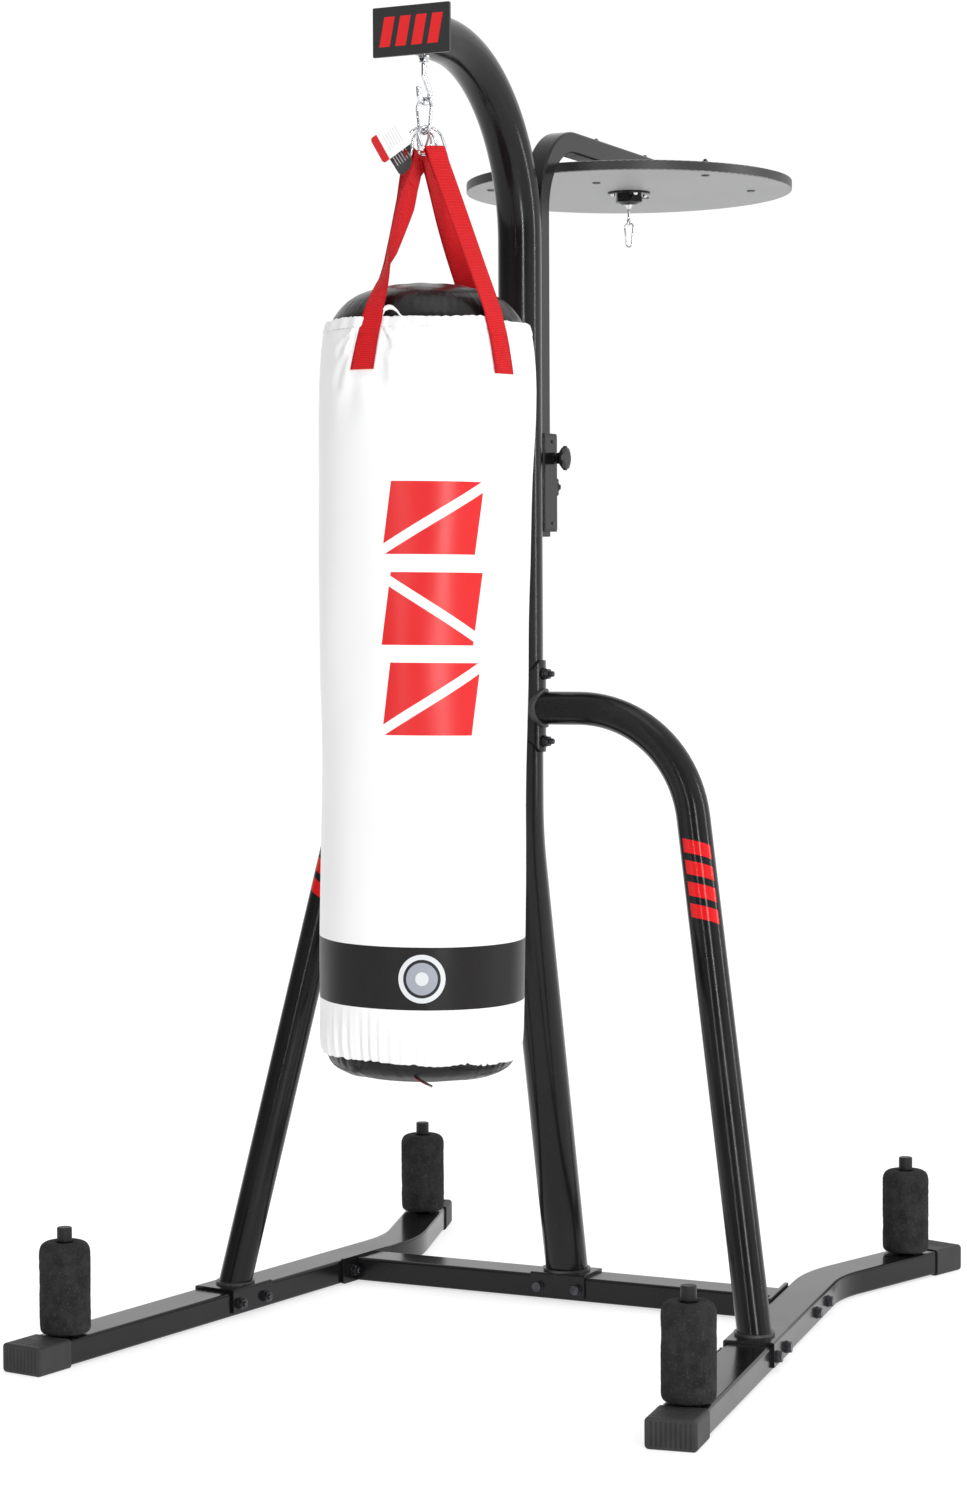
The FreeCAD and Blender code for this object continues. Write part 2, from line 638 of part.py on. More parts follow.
CLIP_TOP = HOOK_Z + HOOK_WIRE_R + CLIP_WIRE_R + 0.1
CLIP_BOTTOM = 2026.0
clip_wire, clip_hi, clip_lo = clip_path(CLIP_DIR, HOOK_AXIS, CLIP_TOP, CLIP_BOTTOM, 16.5, 13.0, 2041.0, 2062.0)
clip_up = (clip_hi - clip_lo).normalize()
keep("bag_clip", round_bar(clip_wire, CLIP_WIRE_R, clip_hi, clip_up))
keep("bag_clip_gate", cyl(2.3, clip_lo + clip_up * 0.5, clip_hi - clip_up * 0.5))


# ---------------------------------------------------------------- D-rings and straps
RING_H = 44.0
RING_W = 44.0
RING_TOP = CLIP_BOTTOM + CLIP_WIRE_R + RING_WIRE_R + 0.9
RING_SEAT_R = 8.0               # how the ring wires rise along the curve of the clip's bar
RINGS = {                      # place along the clip's bar, lean, turn, strap directions
    "front_right": (7.2, 30.0, -14.0, STRAP_HEM_AZ, STRAP_FOOT_AZ),
    "rear_right": (2.4, 9.0, 4.0, 180.0 - STRAP_HEM_AZ, 180.0 - STRAP_FOOT_AZ),
    "front_left": (-2.4, -9.0, 4.0, -STRAP_HEM_AZ, -STRAP_FOOT_AZ),
    "rear_left": (-7.2, -30.0, -4.0, 174.0 + STRAP_HEM_AZ, 180.0 + STRAP_FOOT_AZ),
}


def d_ring():
    """D-ring in the local Y-Z plane: the top of its bow at the origin, flat bar below."""
    r = RING_W / 2.0
    low = -RING_H
    corner = 5.0
    start = vec(0, 0, low)
    halves = []
    for side in (1, -1):
        shoulder = r * math.sqrt(0.5)
        path = Part.Wire([Part.makeLine(start, vec(0, side * (r - corner), low)),
                          Part.Arc(vec(0, side * (r - corner), low),
                                   vec(0, side * (r - corner * 0.293), low + corner * 0.293),
                                   vec(0, side * r, low + corner)).toShape(),
                          Part.makeLine(vec(0, side * r, low + corner), vec(0, side * r, -r)),
                          Part.Arc(vec(0, side * r, -r), vec(0, side * shoulder, shoulder - r),
                                   vec(0, 0, 0)).toShape()])
        halves.append(round_bar(path, RING_WIRE_R, start, vec(0, side, 0)))
    return halves[0].fuse(halves[1]).removeSplitter()


def ring_frame(name):
    """Placement that hangs a D-ring, or what it carries, on the clip's bar."""
    s, lean, turn, _, _ = RINGS[name]
    rise = RING_SEAT_R - math.sqrt(RING_SEAT_R ** 2 - s ** 2)
    where = HOOK_AXIS + CLIP_DIR * s + UP * (RING_TOP + rise)
    spin = FreeCAD.Rotation(UP, HOOK_AZ + turn)
    tilt = FreeCAD.Rotation(vec(0, 1, 0), -lean)
    return FreeCAD.Placement(where, spin.multiply(tilt))


def placed(shape, placement):
    out = shape.copy()
    out.Placement = placement.multiply(out.Placement)
    return out


keep("d_rings", *[placed(d_ring(), ring_frame(name)) for name in RINGS])


def bag_radius(z):
    for (r0, z0), (r1, z1) in zip(BAG_PROFILE, BAG_PROFILE[1:]):
        if z0 <= z <= z1:
            return r0 + (r1 - r0) * (z - z0) / (z1 - z0)
    return BAG_PROFILE[-1][0]


def section(centre, across, through, w, t):
    pts = [centre + across * (sx * w / 2.0) + through * (sy * t / 2.0)
           for sx, sy in ((-1, -1), (1, -1), (1, 1), (-1, 1), (-1, -1))]
    return Part.makePolygon(pts)


def bag_axis(z):
    """The bag's axis at height z; it leans about BAG_LEAN_Z."""
    drift = (BAG_LEAN_Z - z) * math.tan(math.radians(BAG_LEAN))
    return HOOK_AXIS + azimuth(BAG_LEAN_AZ) * drift + UP * z


def strap(name):
    """Webbing from the ring's flat bar, over the hem, to a sewn patch on the bag."""
    frame = ring_frame(name)
    hem_out = azimuth(BAG_FACE_AZ + RINGS[name][3])
    foot_out = azimuth(BAG_FACE_AZ + RINGS[name][4])
    middle_out = (hem_out + foot_out).normalize()
    hem_across = hem_out.cross(UP)
    rot = frame.Rotation
    start = frame.multVec(vec(0, 0, -RING_H - RING_WIRE_R - STRAP_T / 2.0 - 0.4))
    across = rot.multVec(vec(0, 1, 0))
    if across.dot(hem_across) < 0 and name != "front_left":
        across = across * -1.0
    hem_r = BAG_PROFILE[-1][0] + STRAP_T / 2.0 + 1.0
    hem = bag_axis(BAG_HEM_Z + 7.0) + hem_out * hem_r
    run = (hem - start).normalize()
    twist = math.atan2(across.cross(hem_across).z, across.dot(hem_across))
    through = rot.multVec(vec(1, 0, 0))
    if through.dot(across.cross(run)) < 0:
        through = through * -1.0
    sections = [section(start, across, through, STRAP_W, STRAP_T)]
    for k in range(1, 9):
        turn = FreeCAD.Rotation(UP, math.degrees(twist) * k / 8.0)
        edge = turn.multVec(across)
        edge = (edge - run * edge.dot(run)).normalize()
        sections.append(section(start + (hem - start) * (k / 8.0), edge, edge.cross(run), STRAP_W, STRAP_T))
    free = Part.makeLoft(sections, True, True)
    stations = [sections[-1]]
    middle_z = (BAG_HEM_Z + STRAP_FOOT_Z) / 2.0
    for z, out, width in ((BAG_HEM_Z - 8.0, hem_out, STRAP_W),
                          (middle_z, middle_out, (STRAP_W + STRAP_FOOT_W) / 2.0),
                          (STRAP_FOOT_Z, foot_out, STRAP_FOOT_W)):
        centre = bag_axis(z) + out * (bag_radius(z) + STRAP_T / 2.0 + 0.6)
        stations.append(section(centre, out.cross(UP), out, width, STRAP_T))
    patch = Part.makeLoft(stations, True, True)
    return free.fuse(patch).cut(bag_outer)


def revolve(profile, closing):
    """Solid of revolution about the hook's axis from a smooth (r, z) profile."""
    pts = [vec(r, 0, z) for r, z in profile]
    curve = Part.BSplineCurve()
    curve.interpolate(pts)
    ends = [pts[-1]] + [vec(r, 0, z) for r, z in closing] + [pts[0]]
    lines = [Part.makeLine(a, b) for a, b in zip(ends, ends[1:]) if (b - a).Length > 1e-6]
    face = Part.Face(Part.Wire([curve.toShape()] + lines))
    solid = face.revolve(vec(0, 0, 0), UP, 360)
    solid.translate(HOOK_AXIS)
    solid.rotate(HOOK_AXIS + UP * BAG_LEAN_Z, azimuth(BAG_LEAN_AZ).cross(UP), BAG_LEAN)
    return solid


bag_outer = revolve(BAG_PROFILE, [(0, BAG_HEM_Z), (0, BAG_SEAM_Z)])
bag_inner = revolve([(r - BAG_SKIN, z) for r, z in BAG_PROFILE], [(0, BAG_HEM_Z), (0, BAG_SEAM_Z)])
bag_top = revolve(BAG_TOP_PROFILE, [(0, BAG_HEM_Z)])
bag_base = revolve(BAG_BASE_PROFILE, [(0, BAG_SEAM_Z)])
keep("bag_shell", bag_outer.cut(bag_inner))
keep("bag_filling", revolve([(r - BAG_SKIN - 0.2, z) for r, z in BAG_PROFILE],
                            [(0, BAG_HEM_Z), (0, BAG_SEAM_Z)]))
keep("bag_top", bag_top)
keep("bag_base", bag_base)
for strap_name in RINGS:
    keep(strap_name + "_strap", strap(strap_name))


# ---------------------------------------------------------------- retail tags
def tag(width, height, lean, origin):
    card = box(-width / 2.0, width / 2.0, -0.4, 0.4, -height, 0)
    card.rotate(vec(0, 0, 0), vec(0, 1, 0), lean)
    card.translate(origin)
    return card


tag_a = tag(52.0, 62.0, 62.0, HOOK_AXIS + vec(-22.0, -34.0, 2027.0))
tag_b = tag(52.0, 62.0, 36.0, HOOK_AXIS + vec(-22.0, -31.0, 2022.0))
keep("hang_tags", tag_a, tag_b)


# ---------------------------------------------------------------- speed-bag mast, arm, platform
def mast_solid(w, r_corner):
    start = vec(0, MAST_Y, MAST_BOTTOM)
    path = fillet_path([start, vec(0, MAST_Y, ARM_Z), vec(0, ARM_END_Y, ARM_Z)], [MAST_BEND_R])
    return sweep(path, rounded_rect(w, w, r_corner, start, vec(1, 0, 0), vec(0, 1, 0)))


mast = mast_solid(MAST_W, 3.5).cut(mast_solid(MAST_W - 2 * MAST_WALL, 1.5))
ARM_TOP = ARM_Z + MAST_W / 2.0
ARM_BOTTOM = ARM_Z - MAST_W / 2.0
ARM_BOLT_Y = (STRUT_Y[0], STRUT_Y[1])
for y in ARM_BOLT_Y:
    mast = mast.cut(cyl(3.2, vec(0, y, ARM_BOTTOM - 5), vec(0, y, ARM_TOP + 5)))
keep("speed_mast", mast)
foot_cap = box(-19, 19, MAST_Y - 19, MAST_Y + 19, MAST_BOTTOM - 3, MAST_BOTTOM)
foot_cap = foot_cap.makeFillet(3.5, [e for e in foot_cap.Edges if abs(e.CenterOfMass.z - MAST_BOTTOM + 1.5) < 0.1])
foot_cap = foot_cap.makeFillet(1.5, [e for e in foot_cap.Edges if abs(e.CenterOfMass.z - MAST_BOTTOM + 3) < 0.1])
foot_plug = box(-16.2, 16.2, MAST_Y - 16.2, MAST_Y + 16.2, MAST_BOTTOM, MAST_BOTTOM + 16)
arm_cap = box(-19, 19, ARM_END_Y, ARM_END_Y + 3, ARM_BOTTOM, ARM_TOP)
arm_plug = box(-16.2, 16.2, ARM_END_Y - 16, ARM_END_Y, ARM_Z - 16.2, ARM_Z + 16.2)
keep("mast_end_caps", foot_cap.fuse(foot_plug), arm_cap.fuse(arm_plug))

PLATFORM_TOP = PLATFORM_Z + PLATFORM_T


def strut(y):
    """Hat-section strut between the arm and the platform."""
    high = ARM_BOTTOM
    low = PLATFORM_TOP
    t = 3.0
    crown = box(-70, 70, y - 16, y + 16, high - t, high)
    web_l = box(-70, -70 + t, y - 16, y + 16, low, high)
    web_r = box(70 - t, 70, y - 16, y + 16, low, high)
    foot_l = box(-STRUT_X - 16, -70 + t, y - 16, y + 16, low, low + t)
    foot_r = box(70 - t, STRUT_X + 16, y - 16, y + 16, low, low + t)
    bar = crown.fuse([web_l, web_r, foot_l, foot_r]).removeSplitter()
    for x in (-STRUT_X, 0, STRUT_X):
        bar = bar.cut(cyl(3.2, vec(x, y, low - 5), vec(x, y, high + 5)))
    return bar


platform = cyl(PLATFORM_R, vec(0, PLATFORM_Y, PLATFORM_Z), vec(0, PLATFORM_Y, PLATFORM_TOP))
platform = platform.makeFillet(1.5, platform.Edges[:1] + [e for e in platform.Edges if e.Closed][1:])
screws = []


def machine_screw(x, y, z_low, z_high):
    """Pan head below the platform, shank, and a nut above."""
    head = Part.makeCone(8.5, 6.0, 2.2, vec(x, y, z_low), vec(0, 0, -1))
    shank = cyl(3.0, vec(x, y, z_low), vec(x, y, z_high + 8.0))
    screws.append(head.fuse(shank))
    nut = hex_prism(10.0, vec(x, y, z_high), vec(x, y, z_high + 5.0))
    screws.append(nut.cut(cyl(3.02, vec(x, y, z_high - 1), vec(x, y, z_high + 9))))


for y in STRUT_Y:
    for x in (-STRUT_X, STRUT_X):
        machine_screw(x, y, PLATFORM_Z, PLATFORM_TOP + 3.0)
    machine_screw(0, y, PLATFORM_Z, ARM_TOP)
for y in STRUT_Y:
    for x in (-STRUT_X, 0, STRUT_X):
        platform = platform.cut(cyl(3.2, vec(x, y, PLATFORM_Z - 5), vec(x, y, PLATFORM_TOP + 5)))
keep("platform", platform)
keep("platform_struts", strut(STRUT_Y[0]), strut(STRUT_Y[1]))
keep("platform_screws", *screws)

# Swivel under the platform: flange, hexagonal housing, turning spindle with an eye, and a clip.
SW = vec(0, PLATFORM_Y, 0)
SPINDLE_R = 6.0
FLANGE_R = 40.0
HOUSING_W = 46.0
HOUSING_DROP = 18.5
SPINDLE_DROP = 55.0
flange = cyl(FLANGE_R, SW + UP * (PLATFORM_Z - 4.0), SW + UP * PLATFORM_Z)
flange = flange.makeChamfer(1.5, [e for e in flange.Edges
                                  if abs(e.CenterOfMass.z - PLATFORM_Z + 4) < 0.1 and e.Closed])
housing = hex_prism(HOUSING_W, SW + UP * (PLATFORM_Z - HOUSING_DROP), SW + UP * (PLATFORM_Z - 4.0))
dome = Part.makeCone(HOUSING_W / 2.0, 13.0, 4.5, SW + UP * (PLATFORM_Z - HOUSING_DROP), vec(0, 0, -1))
housing = housing.fuse(dome)
bore = cyl(SPINDLE_R + 0.06, SW + UP * (PLATFORM_Z - 30), SW + UP * (PLATFORM_Z - 8))
keep("swivel_flange", flange)
keep("swivel_housing", housing.cut(bore))
swivel_screws = []
for i in range(4):
    spot = SW + azimuth(45 + 90 * i) * 32.5 + UP * (PLATFORM_Z - 4.0)
    head = Part.makeSphere(4.5, spot, vec(0, 0, -1), 0, 90, 360)
    swivel_screws.append(head)
keep("swivel_screws", *swivel_screws)
spin_top = PLATFORM_Z - 8.5
spindle = cyl(SPINDLE_R, SW + UP * (PLATFORM_Z - 24.0), SW + UP * spin_top)
spindle = spindle.fuse(Part.makeCone(7.5, 3.0, 7.0, SW + UP * (PLATFORM_Z - 23.5), vec(0, 0, -1)))
spindle = spindle.fuse(cyl(2.6, SW + UP * (PLATFORM_Z - SPINDLE_DROP + 5.0), SW + UP * (PLATFORM_Z - 28.0)))
EYE_Z = PLATFORM_Z - SPINDLE_DROP
eye = Part.makeTorus(5.2, 1.9, SW + UP * EYE_Z, vec(1, 0, 0))
keep("swivel_spindle", spindle.fuse(eye))
SMALL_R = 1.5
small_top = EYE_Z - 5.2 + 1.9 + SMALL_R + 0.1
small_wire, small_hi, small_lo = clip_path(vec(1, 0, 0), SW, small_top, small_top - 45.0, 8.5, 5.0,
                                           small_top - 33.0, small_top - 14.0)
small_up = (small_hi - small_lo).normalize()
keep("speed_clip", round_bar(small_wire, SMALL_R, small_hi, small_up))
keep("speed_clip_gate", cyl(1.3, small_lo + small_up * 0.4, small_hi - small_up * 0.4))

# ---------------------------------------------------------------- sleeve and clamp knobs
lo, hi = SLEEVE_Z
half = SLEEVE_W / 2.0


def square_prism(w, r, z0, z1):
    start = vec(0, MAST_Y, z0)
    return sweep(Part.Wire([Part.makeLine(start, vec(0, MAST_Y, z1))]),
                 rounded_rect(w, w, r, start, vec(1, 0, 0), vec(0, 1, 0)))


SLEEVE_IN = SLEEVE_W - 2 * SLEEVE_WALL
STUD_R = 5.0
sleeve = square_prism(SLEEVE_W, 4.0, lo, hi).cut(square_prism(SLEEVE_IN, 2.0, lo - 1, hi + 1))
side_axis = vec(0, MAST_Y, KNOB_Z)
rear_axis = vec(0, MAST_Y, REAR_KNOB_Z)
sleeve = sleeve.cut(cyl(STUD_R + 0.06, side_axis, side_axis + vec(60, 0, 0)))
sleeve = sleeve.cut(cyl(STUD_R + 0.06, rear_axis, rear_axis + vec(0, 60, 0)))
keep("mast_sleeve", sleeve)


def bushing(z_in, z_out):
    """Plastic guide that fills the gap between sleeve and mast, with a lip outside."""
    up = 1 if z_out > z_in else -1
    edge = hi if up > 0 else lo
    a, b = sorted((z_in, edge))
    body = square_prism(SLEEVE_IN - 0.2, 2.0, a, b)
    a, b = sorted((edge, z_out))
    lip = square_prism(SLEEVE_W - 1.0, 4.0, a, b)
    body = body.fuse(lip)
    return body.cut(square_prism(MAST_W + 2 * MAST_GAP, 3.5, min(z_in, z_out) - 1, max(z_in, z_out) + 1))


keep("mast_bushings", bushing(hi - 26.0, hi + 4.0), bushing(lo + 26.0, lo - 4.0))

bosses = [ring(10.5, STUD_R + 0.06, side_axis + vec(half, 0, 0), side_axis + vec(half + 9, 0, 0)),
          ring(10.5, STUD_R + 0.06, rear_axis + vec(0, half, 0), rear_axis + vec(0, half + 9, 0))]
keep("clamp_bosses", *bosses)
bushing_screws = []
for z in (hi - 10.0, lo + 10.0):
    spot = vec(half, MAST_Y + 6.0, z)
    bushing_screws.append(Part.makeSphere(3.2, spot, vec(1, 0, 0), 0, 90, 360))
keep("bushing_screws", *bushing_screws)


def knob(centre, axis, side, up, r, lobes, depth):
    """Bell-shaped hand knob: a neck that flares to a scalloped rim with a domed face."""
    body = cyl(r * 0.45, centre - axis * 4.0, centre)
    body = body.fuse(Part.makeCone(r * 0.45, r, depth * 0.6, centre, axis))
    body = body.fuse(cyl(r, centre + axis * (depth * 0.6), centre + axis * (depth * 0.8)))
    body = body.fuse(Part.makeCone(r, r * 0.62, depth * 0.2, centre + axis * (depth * 0.8), axis))
    for i in range(lobes):
        a = math.radians(360.0 * (i + 0.5) / lobes)
        spot = centre + side * (r * 1.10 * math.cos(a)) + up * (r * 1.10 * math.sin(a))
        body = body.cut(cyl(r * 0.24, spot - axis, spot + axis * (depth + 1.0)))
    return body.removeSplitter()


MAST_FACE = MAST_W / 2.0 + 0.05
side_knob = knob(side_axis + vec(half + 16, 0, 0), vec(1, 0, 0), vec(0, 1, 0), UP, KNOB_R, 8, 16.0)
side_stud = cyl(STUD_R, side_axis + vec(MAST_FACE, 0, 0), side_axis + vec(half + 12, 0, 0))
rear_knob = knob(rear_axis + vec(0, half + 16, 0), vec(0, 1, 0), vec(1, 0, 0), UP, KNOB_R, 8, 16.0)
rear_stud = cyl(STUD_R, rear_axis + vec(0, MAST_FACE, 0), rear_axis + vec(0, half + 12, 0))
keep("side_knob", side_knob.fuse(side_stud))
keep("rear_knob", rear_knob.fuse(rear_stud))

for name, shape in PARTS.items():
    shape.exportStep("parts/" + name + ".step")
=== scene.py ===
"""Punching bag on its stand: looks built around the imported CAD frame. Metres, +Z up."""

import math

import bpy
import numpy as np
from mathutils import Matrix, Vector


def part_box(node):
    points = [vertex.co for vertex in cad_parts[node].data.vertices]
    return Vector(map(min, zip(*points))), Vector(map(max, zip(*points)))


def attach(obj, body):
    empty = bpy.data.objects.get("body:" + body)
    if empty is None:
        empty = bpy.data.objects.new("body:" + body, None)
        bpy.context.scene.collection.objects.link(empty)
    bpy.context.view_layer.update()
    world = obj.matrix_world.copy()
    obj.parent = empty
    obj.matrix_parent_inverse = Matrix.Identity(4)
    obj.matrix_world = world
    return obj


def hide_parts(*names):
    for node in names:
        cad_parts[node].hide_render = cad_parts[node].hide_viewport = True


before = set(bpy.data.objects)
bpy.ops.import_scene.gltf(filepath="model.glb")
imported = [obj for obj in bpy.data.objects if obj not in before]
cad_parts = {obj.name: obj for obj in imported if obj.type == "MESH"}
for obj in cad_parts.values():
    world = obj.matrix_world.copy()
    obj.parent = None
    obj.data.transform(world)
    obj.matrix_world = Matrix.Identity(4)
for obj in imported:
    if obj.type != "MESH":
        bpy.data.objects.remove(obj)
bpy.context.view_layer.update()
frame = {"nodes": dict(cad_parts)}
UP = Vector((0.0, 0.0, 1.0))


# ------------------------------------------------------------------ materials
class Shader:
    """A material's node tree, with short calls for the nodes used here."""

    def __init__(self, name):
        self.mat = bpy.data.materials.new(name)
        self.mat.use_nodes = True
        self.tree = self.mat.node_tree
        self.bsdf = next(n for n in self.tree.nodes if n.type == "BSDF_PRINCIPLED")

    def node(self, kind, **settings):
        made = self.tree.nodes.new(kind)
        for key, value in settings.items():
            setattr(made, key, value)
        return made

    def put(self, socket, value):
        """Links an output to the socket, or sets the socket to a constant."""
        if isinstance(value, bpy.types.NodeSocket):
            self.tree.links.new(value, socket)
        elif isinstance(value, (tuple, list)) and len(value) == 3 and len(socket.default_value) == 4:
            socket.default_value = (*value, 1.0)
        else:
            socket.default_value = value

    def shade(self, **sockets):
        for key, value in sockets.items():
            self.put(self.bsdf.inputs[key.replace("_", " ")], value)
        return self

    def math(self, operation, a, b=0.0, c=0.0):
        made = self.node("ShaderNodeMath", operation=operation)
        for socket, value in zip(made.inputs, (a, b, c)):
            self.put(socket, value)
        return made.outputs[0]

    def coords(self, kind="Object", scale=(1.0, 1.0, 1.0)):
        source = self.node("ShaderNodeTexCoord").outputs[kind]
        stretch = self.node("ShaderNodeMapping")
        self.put(stretch.inputs["Vector"], source)
        stretch.inputs["Scale"].default_value = scale
        return stretch.outputs[0]

    def split(self, vector):
        made = self.node("ShaderNodeSeparateXYZ")
        self.put(made.inputs[0], vector)
        return made.outputs

    def noise(self, scale, detail=3.0, rough=0.55, vector=None):
        made = self.node("ShaderNodeTexNoise")
        self.put(made.inputs["Vector"], vector or self.coords())
        made.inputs["Scale"].default_value = scale
        made.inputs["Detail"].default_value = detail
        made.inputs["Roughness"].default_value = rough
        return made.outputs["Fac"]

    def cells(self, scale, vector=None):
        made = self.node("ShaderNodeTexVoronoi")
        self.put(made.inputs["Vector"], vector or self.coords())
        made.inputs["Scale"].default_value = scale
        return made.outputs["Distance"]

    def span(self, value, low, high, new_low, new_high):
        made = self.node("ShaderNodeMapRange")
        for socket, number in zip(made.inputs, (value, low, high, new_low, new_high)):
            self.put(socket, number)
        return made.outputs[0]

    def mix(self, factor, a, b):
        made = self.node("ShaderNodeMix", data_type="RGBA")
        self.put(made.inputs[0], factor)
        self.put(made.inputs[6], a)
        self.put(made.inputs[7], b)
        return made.outputs[2]

    def bevel(self, radius):
        made = self.node("ShaderNodeBevel", samples=4)
        made.inputs["Radius"].default_value = radius
        return made.outputs[0]

    def bump(self, height, strength, distance, normal=None):
        made = self.node("ShaderNodeBump")
        made.inputs["Strength"].default_value = strength
        made.inputs["Distance"].default_value = distance
        self.put(made.inputs["Height"], height)
        if normal is not None:
            self.put(made.inputs["Normal"], normal)
        return made.outputs[0]

    def less(self, a, b):
        return self.math("LESS_THAN", a, b)

    def within(self, value, low, high):
        """1 where low < value < high, else 0."""
        return self.math("MULTIPLY", self.math("GREATER_THAN", value, low), self.less(value, high))


def painted(name, dark, light, rough_low, rough_high, coat=0.0, edge=0.0012):
    """Powder-coated steel: faint orange peel, uneven gloss, softened edges, light scuffs."""
    s = Shader(name)
    patches = s.noise(7.0, 4.0)
    peel = s.noise(420.0, 2.0)
    scuffs = s.span(s.noise(60.0, 6.0, 0.7), 0.60, 0.72, 0.0, 1.0)
    colour = s.mix(s.span(patches, 0.3, 0.7, 0.0, 1.0), dark, light)
    colour = s.mix(s.math("MULTIPLY", scuffs, 0.10), colour, (0.07, 0.07, 0.075))
    rough = s.math("ADD", s.span(patches, 0.3, 0.7, rough_low, rough_high), s.math("MULTIPLY", scuffs, 0.08))
    normal = s.bump(peel, 0.10, 0.0004, s.bevel(edge))
    s.shade(Base_Color=colour, Roughness=rough, Specular_IOR_Level=0.24, Coat_Weight=coat,
            Coat_Roughness=0.12, Normal=normal)
    return s.mat


def plated(name, colour, shade, rough_low, rough_high, edge=0.0004):
    """Plated steel with fine scratches and slightly cloudy patches."""
    s = Shader(name)
    patches = s.noise(90.0, 4.0)
    scratches = s.noise(700.0, 2.0, 0.6, s.coords("Object", (1.0, 1.0, 0.12)))
    s.shade(Metallic=1.0, Base_Color=s.mix(s.span(patches, 0.35, 0.7, 0.0, 1.0), colour, shade),
            Roughness=s.span(patches, 0.3, 0.7, rough_low, rough_high),
            Normal=s.bump(scratches, 0.08, 0.0001, s.bevel(edge)))
    return s.mat


def moulded(name, dark, light, rough, grain=1500.0, edge=0.0012):
    """Moulded plastic with a spark-eroded grain."""
    s = Shader(name)
    patches = s.noise(25.0, 4.0)
    fine = s.noise(grain, 2.0)
    s.shade(Base_Color=s.mix(s.span(patches, 0.3, 0.7, 0.0, 1.0), dark, light), Specular_IOR_Level=0.30,
            Roughness=s.span(patches, 0.3, 0.7, rough - 0.05, rough + 0.07),
            Normal=s.bump(fine, 0.25, 0.0003, s.bevel(edge)))
    return s.mat


def foam_material():
    s = Shader("foam")
    pores = s.cells(620.0)
    lumps = s.noise(45.0, 4.0)
    dust = s.span(s.noise(300.0, 3.0), 0.55, 0.75, 0.0, 1.0)
    colour = s.mix(s.span(lumps, 0.3, 0.7, 0.0, 1.0), (0.014, 0.014, 0.015), (0.031, 0.031, 0.032))
    colour = s.mix(s.math("MULTIPLY", dust, 0.45), colour, (0.080, 0.080, 0.083))
    normal = s.bump(lumps, 0.35, 0.0015)
    s.shade(Base_Color=colour, Roughness=0.93, Specular_IOR_Level=0.15,
            Normal=s.bump(pores, 0.8, 0.0008, normal))
    return s.mat


def welded():
    s = Shader("weld")
    ripples = s.noise(260.0, 2.0)
    s.shade(Base_Color=s.mix(ripples, (0.020, 0.020, 0.022), (0.040, 0.040, 0.043)), Roughness=0.38,
            Normal=s.bump(ripples, 0.9, 0.0015))
    return s.mat


BLACK_LOW, BLACK_HIGH = (0.0055, 0.0055, 0.0060), (0.0090, 0.0090, 0.0100)
RED = (0.66, 0.008, 0.010)


def slanted_bars(s, along, across, centre, count, pitch, bar, half_width, slant):
    """1 inside a row of slanted bars, `count` of them along one axis, each `bar` long."""
    skewed = s.math("MULTIPLY_ADD", across, slant, along)
    start = centre - count * pitch / 2.0
    cell = s.math("FLOORED_MODULO", s.math("SUBTRACT", skewed, start), pitch)
    mask = s.within(cell, (pitch - bar) / 2.0, (pitch + bar) / 2.0)
    mask = s.math("MULTIPLY", mask, s.within(skewed, start, start + count * pitch))
    return s.math("MULTIPLY", mask, s.within(across, -half_width, half_width))


